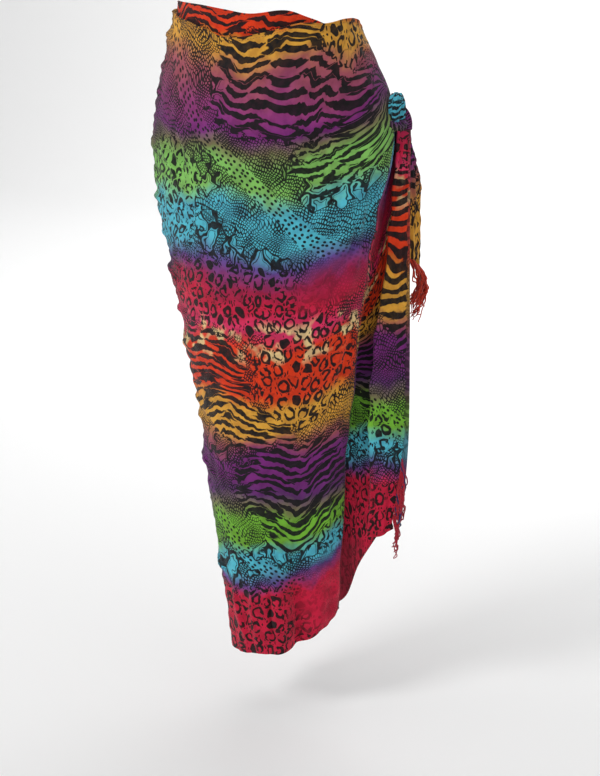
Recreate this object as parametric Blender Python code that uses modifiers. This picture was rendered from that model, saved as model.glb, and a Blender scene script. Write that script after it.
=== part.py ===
"""A sarong of printed cloth, worn as a long wrap and tied at the wearer's left hip.

Metres, +Z up. The wearer faces -Y, so their left hip is on +X. The origin is the centre of
the waist where the cloth is held, and the cloth hangs below it.
"""

import math
from collections import namedtuple

import bmesh
import bpy
from mathutils import Vector


def named_rows(columns, rows):
    """The rows of a table, whose values are read by the names of its columns."""
    row = namedtuple("Row", columns)
    return tuple(row(*values) for values in rows)


# Sizes of the cloth
WALL = 0.002
LAYER_STEP = 0.0055
SEAM_GAP = 0.0005
FALL_SEAM = 2.4

# The worn form, as sections of the outer cloth. Angles run from the front to the wearer's left.
SECTION_COLUMNS = ("height", "half_width", "half_depth", "centre_x", "centre_y", "twist")
SECTIONS = named_rows(
    SECTION_COLUMNS,
    (
        (0.040, 0.136, 0.101, -0.013, 0.000, 0.0),
        (-0.020, 0.142, 0.104, -0.014, 0.000, 0.0),
        (-0.075, 0.162, 0.113, -0.009, 0.004, 0.0),
        (-0.130, 0.181, 0.124, -0.006, 0.008, 0.0),
        (-0.190, 0.189, 0.133, -0.005, 0.010, 0.0),
        (-0.250, 0.186, 0.134, -0.005, 0.008, 0.0),
        (-0.340, 0.169, 0.127, -0.005, 0.003, -3.0),
        (-0.420, 0.152, 0.120, -0.003, 0.000, -5.0),
        (-0.500, 0.140, 0.115, -0.004, 0.000, -7.0),
        (-0.570, 0.122, 0.111, -0.003, 0.002, -9.0),
        (-0.650, 0.107, 0.110, -0.006, 0.004, -11.0),
        (-0.780, 0.087, 0.103, -0.002, 0.006, -14.0),
        (-0.900, 0.070, 0.095, 0.010, 0.004, -17.0),
        (-1.000, 0.062, 0.086, 0.014, 0.004, -19.0),
    ),
)

# The knot, at the left hip
KNOT_ANGLE = 87.0
KNOT_HEIGHT = -0.138
KNOT_FOOT = -0.1640
KNOT_SEAT = 0.0003
KNOT_REACH = 0.165

# How a tension fold swells from the knot and dies out
FOLD_LEAST = 0.011
FOLD_NEAR = 0.015
FOLD_FULL = 0.070
FOLD_SWELL = 2.2
FOLD_RISE = 0.7
FOLD_FADE = 1.2

# The front panel runs from a seam at the wearer's right to the ridge beside the fall
PANEL_START = -100.0
RIDGE_WIDTH = 42.0
CALM_WIDTH = 14.0
PANEL_END_COLUMNS = ("height", "angle")
PANEL_END = named_rows(
    PANEL_END_COLUMNS,
    (
        (0.000, 106.0),
        (-0.060, 104.0),
        (-0.090, 98.0),
        (-0.120, 90.0),
        (-0.160, 81.0),
        (-0.200, 76.0),
        (-0.260, 71.0),
        (-0.340, 74.0),
        (-0.420, 77.0),
        (-0.500, 82.0),
        (-0.580, 89.0),
        (-0.680, 95.0),
        (-0.780, 99.0),
        (-1.000, 97.0),
    ),
)
RIDGE_COLUMNS = ("height", "lift")
RIDGE_LIFT = named_rows(
    RIDGE_COLUMNS,
    (
        (-0.080, 0.000),
        (-0.165, 0.013),
        (-0.220, 0.016),
        (-0.500, 0.016),
        (-0.650, 0.022),
        (-0.780, 0.027),
        (-0.950, 0.030),
    ),
)

EDGE_COLUMNS = ("angle", "height")
PANEL_TOP = named_rows(
    EDGE_COLUMNS,
    (
        (-100.0, -0.004),
        (-72.0, -0.006),
        (-37.0, -0.016),
        (-20.0, -0.026),
        (-4.0, -0.036),
        (18.0, -0.028),
        (40.0, -0.015),
        (58.0, -0.016),
        (75.0, -0.011),
        (92.0, -0.013),
        (106.0, -0.026),
    ),
)
PANEL_HEM = named_rows(
    EDGE_COLUMNS,
    (
        (-100.0, -0.962),
        (-60.0, -0.972),
        (-9.0, -0.973),
        (18.0, -0.969),
        (48.0, -0.965),
        (62.0, -0.960),
        (72.0, -0.950),
        (80.0, -0.932),
        (88.0, -0.924),
        (98.0, -0.905),
    ),
)
INNER_START = -72.0
INNER_END = 84.0
INNER_TOP = named_rows(
    EDGE_COLUMNS,
    (
        (-72.0, 0.008),
        (-62.0, 0.009),
        (-28.0, 0.007),
        (-8.0, 0.002),
        (9.0, -0.003),
        (31.0, 0.002),
        (45.0, -0.007),
        (60.0, -0.020),
        (84.0, -0.058),
    ),
)
INNER_HEM = named_rows(
    EDGE_COLUMNS,
    (
        (-72.0, -0.935),
        (0.0, -0.930),
        (45.0, -0.920),
        (84.0, -0.895),
    ),
)
BACK_END = 260.0
BACK_JOIN = 236.0
CLEAR_FROM = 108.0
CLEAR_TO = 126.0
UNDER_FROM = 112.0
UNDER_TO = 150.0
BACK_TOP = named_rows(
    EDGE_COLUMNS,
    (
        (84.0, -0.060),
        (110.0, -0.064),
        (140.0, -0.048),
        (185.0, -0.036),
        (220.0, -0.026),
        (245.0, -0.010),
        (260.0, -0.004),
    ),
)
BACK_HEM = named_rows(
    EDGE_COLUMNS,
    (
        (84.0, -0.897),
        (98.0, -0.870),
        (112.0, -0.815),
        (124.0, -0.850),
        (140.0, -0.905),
        (170.0, -0.935),
        (215.0, -0.950),
        (260.0, -0.958),
    ),
)

# Where the fall draws the back wrap out from the leg
FLARE_ANGLE = 116.0
FLARE_SPREAD = 13.0
FLARE_LIFT = 0.022
FLARE_TOP = -0.420
FLARE_FOOT = -0.800

# Tension folds that fan out from the knot: angle above the horizontal, reach, height, spread
FAN_COLUMNS = ("angle", "reach", "lift", "spread")
FRONT_FAN = named_rows(
    FAN_COLUMNS,
    (
        (38.0, 0.20, 0.0050, 8.0),
        (14.0, 0.27, 0.0080, 6.0),
        (-4.0, 0.33, 0.0095, 5.5),
        (-20.0, 0.31, 0.0085, 5.0),
        (-35.0, 0.36, 0.0095, 5.0),
        (-50.0, 0.34, 0.0085, 4.5),
        (-63.0, 0.44, 0.0090, 4.0),
        (-75.0, 0.50, 0.0080, 3.5),
    ),
)
BACK_FAN = named_rows(
    FAN_COLUMNS,
    (
        (30.0, 0.20, 0.0050, 8.0),
        (8.0, 0.28, 0.0070, 6.0),
        (-14.0, 0.32, 0.0075, 6.0),
        (-34.0, 0.36, 0.0080, 5.5),
        (-54.0, 0.40, 0.0080, 5.0),
        (-70.0, 0.46, 0.0075, 4.0),
    ),
)

# Long soft folds that hang: angle, half width in degrees, top, foot, lift at the foot, lean
HANG_COLUMNS = ("angle", "spread", "top", "foot", "lift", "lean")
PANEL_HANGS = named_rows(
    HANG_COLUMNS,
    (
        (60.0, 6.0, -0.74, -0.96, -0.0120, 8.0),
        (76.0, 7.0, -0.66, -0.96, 0.0080, 3.0),
        (42.0, 9.0, -0.70, -0.96, 0.0080, 4.0),
        (8.0, 12.0, -0.78, -0.96, -0.0050, 0.0),
        (-30.0, 10.0, -0.66, -0.96, 0.0065, -4.0),
        (-58.0, 9.0, -0.52, -0.96, -0.0060, -3.0),
        (-84.0, 8.0, -0.46, -0.96, 0.0070, 0.0),
    ),
)
BACK_HANGS = named_rows(
    HANG_COLUMNS,
    (
        (142.0, 8.0, -0.44, -0.94, -0.0070, -4.0),
        (163.0, 9.0, -0.36, -0.94, 0.0100, 0.0),
        (186.0, 8.0, -0.48, -0.94, -0.0075, 3.0),
        (207.0, 9.0, -0.40, -0.94, 0.0095, 3.0),
        (232.0, 8.0, -0.48, -0.94, -0.0065, 4.0),
        (250.0, 7.0, -0.44, -0.94, 0.0065, 2.0),
    ),
)

# Buckles that run round the body: height, half height, angle, half width in degrees, lift
BUCKLE_COLUMNS = ("height", "spread", "angle", "width", "lift")
PANEL_BUCKLES = named_rows(
    BUCKLE_COLUMNS,
    (
        (-0.046, 0.012, -88.0, 30.0, 0.0040),
        (-0.300, 0.014, -78.0, 26.0, 0.0035),
        (-0.405, 0.020, -86.0, 34.0, 0.0070),
        (-0.470, 0.014, -70.0, 26.0, -0.0035),
        (-0.545, 0.018, -84.0, 30.0, 0.0050),
        (-0.630, 0.016, -66.0, 30.0, -0.0040),
        (-0.705, 0.018, -80.0, 34.0, 0.0045),
        (-0.790, 0.016, -70.0, 28.0, -0.0040),
        (-0.850, 0.016, -86.0, 26.0, 0.0040),
    ),
)
BACK_BUCKLES = named_rows(
    BUCKLE_COLUMNS,
    (
        (-0.260, 0.022, 170.0, 60.0, -0.0045),
        (-0.330, 0.016, 196.0, 44.0, 0.0050),
        (-0.430, 0.018, 226.0, 34.0, 0.0050),
        (-0.520, 0.016, 240.0, 30.0, -0.0040),
        (-0.560, 0.020, 150.0, 40.0, 0.0045),
        (-0.640, 0.016, 190.0, 50.0, -0.0040),
    ),
)

# The fall beside the panel: places across it below the knot, half way down and at the hem
FALL_TOP = KNOT_FOOT - KNOT_SEAT
FALL_MIDDLE = -0.600
FALL_LOW = -0.800
FALL_COLUMNS = ("top_x", "top_y", "middle_x", "middle_y", "low_x", "low_y")
FALL_PLACES = named_rows(
    FALL_COLUMNS,
    (
        (0.1835, -0.0030, 0.1270, -0.0060, 0.1130, 0.0120),
        (0.1885, -0.0020, 0.1450, 0.0010, 0.1340, 0.0110),
        (0.1940, 0.0005, 0.1650, 0.0070, 0.1550, 0.0110),
        (0.2000, 0.0040, 0.1860, 0.0165, 0.1750, 0.0165),
        (0.2055, 0.0075, 0.2020, 0.0245, 0.1930, 0.0225),
        (0.2090, 0.0070, 0.2080, 0.0235, 0.1990, 0.0220),
        (0.2060, 0.0030, 0.2030, 0.0190, 0.1940, 0.0170),
        (0.2015, -0.0008, 0.1860, 0.0080, 0.1790, 0.0070),
        (0.1975, -0.0048, 0.1690, -0.0030, 0.1660, -0.0035),
        (0.1955, -0.0100, 0.1600, -0.0115, 0.1590, -0.0120),
        (0.1980, -0.0138, 0.1640, -0.0165, 0.1630, -0.0165),
        (0.2020, -0.0095, 0.1810, -0.0045, 0.1740, -0.0095),
        (0.2065, -0.0050, 0.1960, 0.0050, 0.1830, -0.0040),
        (0.2095, -0.0010, 0.2060, 0.0110, 0.1910, 0.0010),
    ),
)
HEM_COLUMNS = ("share", "height")
FALL_HEM = named_rows(
    HEM_COLUMNS,
    (
        (0.00, -0.905),
        (0.36, -0.900),
        (0.41, -0.888),
        (0.45, -0.850),
        (0.50, -0.812),
        (0.55, -0.770),
        (0.60, -0.720),
        (0.64, -0.702),
        (0.69, -0.712),
        (0.77, -0.755),
        (0.82, -0.770),
        (0.91, -0.776),
        (1.00, -0.764),
    ),
)
RETURN_AT_TOP = 4.0
RETURN_AT_HEM = 15.0

# Places round the turn: degrees past the panel's edge, share of the return, depth under
TURN_COLUMNS = ("past", "returned", "under")
TURN_PLACES = named_rows(
    TURN_COLUMNS,
    (
        (0.0, 0.0, 0.0000),
        (2.0, 0.0, 0.0025),
        (0.5, 0.0, 0.0056),
        (0.0, 0.5, 0.0058),
        (0.0, 1.0, 0.0062),
        (-2.4, 1.0, 0.0090),
        (0.0, 1.0, 0.0118),
        (0.0, 0.5, 0.0122),
        (1.5, 0.0, 0.0124),
    ),
)

# The loose corner that hangs from the knot behind the fall
TAIL_TOP = KNOT_FOOT - KNOT_SEAT
TAIL_OPEN = -0.225
TAIL_COLUMNS = ("top_x", "top_y", "low_x", "low_y")
TAIL_PLACES = named_rows(
    TAIL_COLUMNS,
    (
        (0.1990, 0.0145, 0.2075, 0.0225),
        (0.2020, 0.0170, 0.2115, 0.0300),
        (0.1990, 0.0200, 0.2070, 0.0385),
        (0.2020, 0.0225, 0.2095, 0.0465),
        (0.1990, 0.0255, 0.2050, 0.0545),
        (0.2010, 0.0285, 0.2060, 0.0630),
    ),
)
TAIL_HEM = named_rows(
    HEM_COLUMNS,
    (
        (0.0, -0.352),
        (0.4, -0.362),
        (1.0, -0.378),
    ),
)

# The knot: rounded bundles of gathered cloth about one middle, with pleats up and down
KNOT_MIDDLE = (0.1930, 0.0010, -0.1400)
LOBE_COLUMNS = ("x", "y", "z", "half_x", "half_y", "half_z")
KNOT_LOBES = named_rows(
    LOBE_COLUMNS,
    (
        (0.1850, -0.0110, -0.1330, 0.0150, 0.0200, 0.0310),
        (0.1950, 0.0000, -0.1420, 0.0125, 0.0150, 0.0290),
        (0.1915, 0.0140, -0.1500, 0.0120, 0.0170, 0.0210),
    ),
)
KNOT_PLEATS = 9
PLEAT_DEPTH = 0.06
KNOT_CLEAR = 0.0014
KNOT_RINGS = 14
SIDES_TO_A_PLEAT = 4
DRAWING_STEPS = 16

# The fringed short end of the cloth
FRINGE_STRIP = 0.0024
FRINGE_STRIP_THICK = 0.0046
STRAND_RADIUS = 0.00065
STRAND_SWAY = 0.0014
STRAND_WAVE = 0.35
STRAND_STEPS = 3
STRAND_LENGTHS = 3
LENGTH_STEP = 0.12
ROOT_DEPTH = 0.55
MERGE_DISTANCE = 0.00005
STRIP_STEPS = 8
FALL_STRANDS = 12
FALL_FRINGE_TOP = -0.655
FALL_FRINGE_FOOT = -0.752
FALL_STRAND_LENGTH = 0.070
FALL_LANE = 0.0015
TAIL_STRANDS = 12
TAIL_STRAND_LENGTH = 0.068
TAIL_STEPS = 15


def smooth(table, at, column):
    """A smooth curve through one column of a table, read at a value of its first column."""
    places = [row[0] for row in table]
    values = [getattr(row, column) for row in table]
    if places[0] > places[-1]:
        places = [-place for place in places]
        at = -at
    if at <= places[0]:
        return values[0]
    if at >= places[-1]:
        return values[-1]
    i = 0
    while places[i + 1] < at:
        i += 1

    def slope(k):
        before = max(k - 1, 0)
        after = min(k + 1, len(places) - 1)
        return (values[after] - values[before]) / (places[after] - places[before])

    width = places[i + 1] - places[i]
    t = (at - places[i]) / width
    keep = 2 * t**3 - 3 * t**2 + 1
    return (
        values[i] * keep
        + values[i + 1] * (1 - keep)
        + slope(i) * width * (t**3 - 2 * t**2 + t)
        + slope(i + 1) * width * (t**3 - t**2)
    )


def ease(low, high, at):
    """0 at low and before it, 1 at high and past it, and a soft step between."""
    t = min(max((at - low) / (high - low), 0.0), 1.0)
    return t * t * (3 - 2 * t)


def bump(distance, spread):
    """A soft ridge across its spread, 1 at its crest."""
    return math.exp(-((distance / spread) ** 2))


def form_point(angle, height, out):
    """A point on the worn form, moved outwards from the outer cloth."""
    half_width, half_depth, centre_x, centre_y, twist = (
        smooth(SECTIONS, height, column) for column in SECTION_COLUMNS[1:]
    )
    turn = math.radians(angle)
    across = math.sin(turn) / half_width
    ahead = -math.cos(turn) / half_depth
    size = math.hypot(across, ahead)
    x = half_width * math.sin(turn) + out * across / size
    y = -half_depth * math.cos(turn) + out * ahead / size
    lean = math.radians(twist)
    return Vector(
        (
            centre_x + x * math.cos(lean) - y * math.sin(lean),
            centre_y + x * math.sin(lean) + y * math.cos(lean),
            height,
        )
    )


def fan(folds, angle, height):
    """The lift of the tension folds at a place, measured along the cloth from the knot."""
    along = math.radians(abs(angle - KNOT_ANGLE)) * KNOT_REACH
    above = height - KNOT_HEIGHT
    distance = math.hypot(along, above)
    lift = 0.0
    started = FOLD_SWELL * ease(FOLD_NEAR, FOLD_FULL, distance)
    for fold in folds:
        share = min(distance / fold.reach, 1.0)
        swell = started * share**FOLD_RISE * (1 - share) ** FOLD_FADE
        course = math.radians(fold.angle)
        aside = above * math.cos(course) - along * math.sin(course)
        forwards = along * math.cos(course) + above * math.sin(course)
        width = max(distance * math.radians(fold.spread), FOLD_LEAST)
        if forwards > 0:
            lift += fold.lift * swell * bump(aside, width)
    return lift


def hangs(folds, angle, height):
    """The lift of the long folds that open towards the hem."""
    lift = 0.0
    for fold in folds:
        down = ease(fold.top, fold.foot, height) if height < fold.top else 0.0
        lift += fold.lift * down * bump(angle - fold.angle - fold.lean * down, fold.spread)
    return lift


def buckles(folds, angle, height):
    """The lift of the buckles that run round the body."""
    return sum(
        fold.lift * bump(height - fold.height, fold.spread) * bump(angle - fold.angle, fold.width)
        for fold in folds
    )


def panel_end(height):
    return smooth(PANEL_END, height, "angle")


def seam_angle(height):
    """The angle that the gap at a seam takes up."""
    return math.degrees(SEAM_GAP / smooth(SECTIONS, height, "half_width"))


def panel_lift(angle, height):
    """How far the front panel stands off the form. Below the knot the fall carries it out."""
    end = panel_end(height)
    carried = smooth(RIDGE_LIFT, height, "lift") * ease(end - RIDGE_WIDTH, end, angle)
    calm = 1 - ease(end - CALM_WIDTH, end, angle)
    lift = fan(FRONT_FAN, angle, height) + hangs(PANEL_HANGS, angle, height)
    return carried + lift * calm + buckles(PANEL_BUCKLES, angle, height)


def between_edges(top, at_top, hem, at_hem, down):
    """The height a share of the way down from one edge to the other."""
    start = smooth(top, at_top, "height")
    return start + (smooth(hem, at_hem, "height") - start) * down


def panel_point(across, down):
    at_top = PANEL_START + (PANEL_TOP[-1].angle - PANEL_START) * across
    at_hem = PANEL_START + (PANEL_HEM[-1].angle - PANEL_START) * across
    height = between_edges(PANEL_TOP, at_top, PANEL_HEM, at_hem, down)
    angle = PANEL_START + (panel_end(height) - PANEL_START) * across
    return form_point(angle, height, panel_lift(angle, height))


def inner_point(across, down):
    angle = INNER_START + (INNER_END - INNER_START) * across
    height = between_edges(INNER_TOP, angle, INNER_HEM, angle, down)
    press = min(panel_lift(angle, height), 0.0)
    return form_point(angle, height, press - LAYER_STEP)


def back_point(across, down):
    nominal = INNER_END + (BACK_END - INNER_END) * across
    height = between_edges(BACK_TOP, nominal, BACK_HEM, nominal, down)
    seam = seam_angle(height)
    angle = nominal + seam * (1 - 2 * across)
    clear = ease(CLEAR_FROM, CLEAR_TO, angle)
    join = ease(BACK_JOIN, BACK_END, angle)
    lift = fan(BACK_FAN, angle, height) + hangs(BACK_HANGS, angle, height)
    lift += buckles(BACK_BUCKLES, angle, height)
    flare = FLARE_LIFT * ease(FLARE_TOP, FLARE_FOOT, height)
    flare *= bump(angle - FLARE_ANGLE, FLARE_SPREAD)
    right_side = panel_lift(angle - 360.0, height)
    under = LAYER_STEP * (1 - ease(UNDER_FROM, UNDER_TO, angle))
    out = lift * clear * (1 - join) + right_side * join + flare - under
    return form_point(angle, height, out)


def place_on(places, share):
    """A point on the smooth line through the places, share from 0 to 1 of their number."""
    last = len(places) - 1
    i = min(int(share * last), last - 1)
    t = share * last - i

    def slope(k):
        before = places[max(k - 1, 0)]
        here = places[k]
        after = places[min(k + 1, last)]
        length = (here - before).length + (after - here).length
        return (after - before) / length

    start, end = places[i], places[i + 1]
    width = (end - start).length
    keep = 2 * t**3 - 3 * t**2 + 1
    return (
        start * keep
        + end * (1 - keep)
        + slope(i) * width * (t**3 - 2 * t**2 + t)
        + slope(i + 1) * width * (t**3 - t**2)
    )


def fall_places(height):
    """The places across the fall at one height: the turn behind the panel, then the pleats."""
    opened = ease(FALL_TOP, FALL_MIDDLE, height)
    lowered = ease(FALL_MIDDLE, FALL_LOW, height)
    end = panel_end(height) + seam_angle(height) * FALL_SEAM
    back = RETURN_AT_TOP + (RETURN_AT_HEM - RETURN_AT_TOP) * opened
    places = []
    for turn in TURN_PLACES:
        angle = end + turn.past - back * turn.returned
        places.append(form_point(angle, height, panel_lift(angle, height) - turn.under))
    for place in FALL_PLACES:
        x = place.top_x + (place.middle_x - place.top_x) * opened
        y = place.top_y + (place.middle_y - place.top_y) * opened
        x += (place.low_x - place.middle_x) * lowered
        y += (place.low_y - place.middle_y) * lowered
        places.append(Vector((x, y, height)))
    return places


def fall_point(across, down):
    height = FALL_TOP + (smooth(FALL_HEM, across, "height") - FALL_TOP) * down
    return place_on(fall_places(height), across)


def tail_places(height):
    opened = ease(TAIL_TOP, TAIL_OPEN, height)
    places = []
    for place in TAIL_PLACES:
        x = place.top_x + (place.low_x - place.top_x) * opened
        y = place.top_y + (place.low_y - place.top_y) * opened
        places.append(Vector((x, y, height)))
    return places


def tail_point(across, down):
    height = TAIL_TOP + (smooth(TAIL_HEM, across, "height") - TAIL_TOP) * down
    return place_on(tail_places(height), across)


def clears_panel(point):
    """True where a point lies outside the outer cloth and above the fall."""
    if point.z < KNOT_FOOT:
        return False
    aside = point.x - smooth(SECTIONS, point.z, "centre_x")
    ahead = smooth(SECTIONS, point.z, "centre_y") - point.y
    aside /= smooth(SECTIONS, point.z, "half_width")
    ahead /= smooth(SECTIONS, point.z, "half_depth")
    angle = math.degrees(math.atan2(aside, ahead))
    ground = form_point(angle, point.z, 0.0)
    outwards = form_point(angle, point.z, 1.0) - ground
    least = max(panel_lift(angle, point.z), 0.0) + WALL / 2 + KNOT_CLEAR
    return (point - ground).dot(outwards) > least


def lobe_reach(direction, lobe):
    """How far the surface of one lobe lies from the knot's middle, along a direction."""
    middle = (lobe.x, lobe.y, lobe.z)
    halves = (lobe.half_x, lobe.half_y, lobe.half_z)
    inside = [(KNOT_MIDDLE[axis] - middle[axis]) / halves[axis] for axis in range(3)]
    slope = [direction[axis] / halves[axis] for axis in range(3)]
    square = sum(part * part for part in slope)
    half = sum(part * start for part, start in zip(slope, inside))
    rest = sum(start * start for start in inside) - 1
    return (math.sqrt(half * half - square * rest) - half) / square


def knot_point(direction):
    """The knot's surface along a direction, drawn in to where it clears the cloth under it."""
    around = math.atan2(direction.y, direction.x)
    pleat = 1 + PLEAT_DEPTH * math.cos(KNOT_PLEATS * around) * (1 - direction.z**2)
    reach = max(lobe_reach(direction, lobe) for lobe in KNOT_LOBES) * pleat
    middle = Vector(KNOT_MIDDLE)
    if clears_panel(middle + direction * reach):
        return middle + direction * reach
    near, far = 0.0, reach
    for _ in range(DRAWING_STEPS):
        half = (near + far) / 2
        if clears_panel(middle + direction * half):
            near = half
        else:
            far = half
    return middle + direction * near


def knot(material, collection):
    mesh = bpy.data.meshes.new("knot")
    form = bmesh.new()
    sides = KNOT_PLEATS * SIDES_TO_A_PLEAT
    bmesh.ops.create_uvsphere(form, u_segments=sides, v_segments=KNOT_RINGS, radius=1.0)
    for vertex in form.verts:
        vertex.co = knot_point(vertex.co.normalized())
    form.to_mesh(mesh)
    form.free()
    mesh.materials.append(material)
    mesh.shade_smooth()
    collection.objects.link(bpy.data.objects.new("knot", mesh))


def join_to(body, other):
    """Makes the other shape one with the body, and hides it as a guide."""
    union = body.modifiers.new(other.name, "BOOLEAN")
    union.operation = "UNION"
    union.solver = "EXACT"
    union.object = other
    other.hide_render = True
    other.display_type = "WIRE"


def strands(name, roots, outwards, length, guides):
    """Square strands that hang from their roots, as one mesh of separate closed tubes."""
    curve = bpy.data.curves.new(name + "_curve", "CURVE")
    curve.dimensions = "3D"
    curve.bevel_depth = STRAND_RADIUS
    curve.bevel_resolution = 0
    curve.use_fill_caps = True
    for number, root in enumerate(roots):
        reach = length * (1 - LENGTH_STEP * (number % STRAND_LENGTHS))
        spline = curve.splines.new("POLY")
        spline.points.add(STRAND_STEPS)
        for step, point in enumerate(spline.points):
            t = step / STRAND_STEPS
            aside = STRAND_SWAY * (t + STRAND_WAVE * math.sin(2 * math.pi * t))
            place = root + outwards * aside - Vector((0, 0, reach * t))
            point.co = (*place, 1.0)
    holder = bpy.data.objects.new(name + "_curve", curve)
    guides.objects.link(holder)
    depsgraph = bpy.context.evaluated_depsgraph_get()
    mesh = bpy.data.meshes.new_from_object(holder.evaluated_get(depsgraph))
    bpy.data.objects.remove(holder)
    closed = bmesh.new()
    closed.from_mesh(mesh)
    bmesh.ops.remove_doubles(closed, verts=closed.verts, dist=MERGE_DISTANCE)
    closed.to_mesh(mesh)
    closed.free()
    bundle = bpy.data.objects.new(name + "_strands", mesh)
    guides.objects.link(bundle)
    return bundle


def fall_edge(height):
    """The short end of the cloth at one height, and the way out past it."""
    places = fall_places(height)
    outwards = (places[-1] - places[-2]).normalized()
    return places[-1], outwards


def fall_strip_point(across, down):
    height = FALL_FRINGE_TOP + (FALL_FRINGE_FOOT - FALL_FRINGE_TOP) * down
    edge, outwards = fall_edge(height)
    return edge + outwards * (SEAM_GAP + FRINGE_STRIP * across)


def tail_strip_point(across, down):
    return tail_point(across, 1.0) - Vector((0, 0, SEAM_GAP + FRINGE_STRIP * down))


def fringe_fall(material, collection, guides):
    strip = cloth_wall("fringe_fall", fall_strip_point, 1, STRIP_STEPS, material, collection)
    strip.modifiers[0].thickness = FRINGE_STRIP_THICK
    roots = []
    for number in range(FALL_STRANDS):
        down = (number + 0.5) / FALL_STRANDS
        edge, outwards = fall_edge(FALL_FRINGE_TOP + (FALL_FRINGE_FOOT - FALL_FRINGE_TOP) * down)
        lane = FALL_LANE if number % 2 else -FALL_LANE
        aside = Vector((-outwards.y, outwards.x, 0)) * lane
        roots.append(edge + outwards * (SEAM_GAP + FRINGE_STRIP * ROOT_DEPTH) + aside)
    away = fall_edge(FALL_FRINGE_TOP)[1]
    join_to(strip, strands("fringe_fall", roots, away, FALL_STRAND_LENGTH, guides))


def fringe_tail(material, collection, guides):
    strip = cloth_wall("fringe_tail", tail_strip_point, TAIL_STEPS, 1, material, collection)
    strip.modifiers[0].thickness = FRINGE_STRIP
    roots = [
        tail_strip_point((number + 0.5) / TAIL_STRANDS, 0.5) for number in range(TAIL_STRANDS)
    ]
    join_to(strip, strands("fringe_tail", roots, Vector((1, 0, 0)), TAIL_STRAND_LENGTH, guides))


def colour(name, rgb, roughness=0.85):
    material = bpy.data.materials.new(name)
    material.use_nodes = True
    shader = material.node_tree.nodes["Principled BSDF"]
    shader.inputs["Base Color"].default_value = (*rgb, 1.0)
    shader.inputs["Roughness"].default_value = roughness
    shader.inputs["Metallic"].default_value = 0.0
    return material


def cloth_wall(name, point_at, columns, rows, material, collection):
    """An open grid laid on a surface, with the cloth's thickness from Solidify."""
    mesh = bpy.data.meshes.new(name)
    grid = bmesh.new()
    bmesh.ops.create_grid(grid, x_segments=columns, y_segments=rows, size=0.5)
    for vertex in grid.verts:
        vertex.co = point_at(vertex.co.x + 0.5, 0.5 - vertex.co.y)
    grid.to_mesh(mesh)
    grid.free()
    mesh.materials.append(material)
    mesh.shade_smooth()
    wall = bpy.data.objects.new(name, mesh)
    collection.objects.link(wall)
    thicken = wall.modifiers.new("cloth thickness", "SOLIDIFY")
    thicken.thickness = WALL
    thicken.offset = 0.0
    return wall


# Each stretch of the cloth: its surface, its steps across and down, and its colour
CLOTH_COLUMNS = ("name", "point_at", "across", "down", "tint")
CLOTHS = named_rows(
    CLOTH_COLUMNS,
    (
        ("front_panel", panel_point, 32, 32, (0.62, 0.22, 0.26)),
        ("inner_wrap", inner_point, 14, 26, (0.80, 0.24, 0.08)),
        ("back_wrap", back_point, 26, 26, (0.36, 0.42, 0.30)),
        ("side_fall", fall_point, 46, 20, (0.60, 0.10, 0.25)),
        ("knot_tail", tail_point, TAIL_STEPS, 6, (0.55, 0.38, 0.12)),
    ),
)
KNOT_TINT = (0.30, 0.14, 0.36)
CRIMSON = (0.55, 0.04, 0.12)
ORANGE = (0.72, 0.14, 0.05)


def clear_scene():
    for item in list(bpy.data.objects):
        bpy.data.objects.remove(item)


def main():
    clear_scene()
    sarong = bpy.data.collections.new("sarong")
    guides = bpy.data.collections.new("guides")
    for collection in (sarong, guides):
        bpy.context.scene.collection.children.link(collection)
    for cloth in CLOTHS:
        material = colour(cloth.name + " cloth", cloth.tint)
        cloth_wall(cloth.name, cloth.point_at, cloth.across, cloth.down, material, sarong)
    knot(colour("knotted cloth", KNOT_TINT), sarong)
    fringe_fall(colour("crimson fringe", CRIMSON), sarong, guides)
    fringe_tail(colour("orange fringe", ORANGE), sarong, guides)


main()
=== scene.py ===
"""The looks of a sarong: printed cloth worn as a long wrap and tied at the wearer's left hip.

Metres, +Z up. The wearer faces -Y. Angles run from the front towards the wearer's left, and
heights are below the waist, where the cloth is held.
"""

import math

import bmesh
import bpy
import numpy as np
from bpy.props import FloatProperty, FloatVectorProperty, IntProperty, PointerProperty
from bpy.types import Operator, Panel, PropertyGroup
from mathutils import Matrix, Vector


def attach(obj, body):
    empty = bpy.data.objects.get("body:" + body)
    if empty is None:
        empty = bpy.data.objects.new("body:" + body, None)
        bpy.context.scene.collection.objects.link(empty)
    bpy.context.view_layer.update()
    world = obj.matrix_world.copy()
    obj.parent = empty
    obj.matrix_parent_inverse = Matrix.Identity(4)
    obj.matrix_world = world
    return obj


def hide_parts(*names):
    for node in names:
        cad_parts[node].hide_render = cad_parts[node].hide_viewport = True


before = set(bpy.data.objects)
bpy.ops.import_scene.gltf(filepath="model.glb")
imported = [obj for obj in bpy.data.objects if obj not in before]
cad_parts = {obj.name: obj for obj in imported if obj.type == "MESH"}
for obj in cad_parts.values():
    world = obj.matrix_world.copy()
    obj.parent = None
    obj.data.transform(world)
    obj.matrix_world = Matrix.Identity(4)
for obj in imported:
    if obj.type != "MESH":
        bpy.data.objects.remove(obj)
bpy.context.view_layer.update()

bl_info = {
    "name": "Tied Sarong",
    "version": (1, 0, 0),
    "blender": (4, 5, 0),
    "location": "View3D > Sidebar > Sarong",
    "description": "Printed cloth worn as a long wrap and tied at the left hip",
    "category": "Add Mesh",
}

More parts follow.
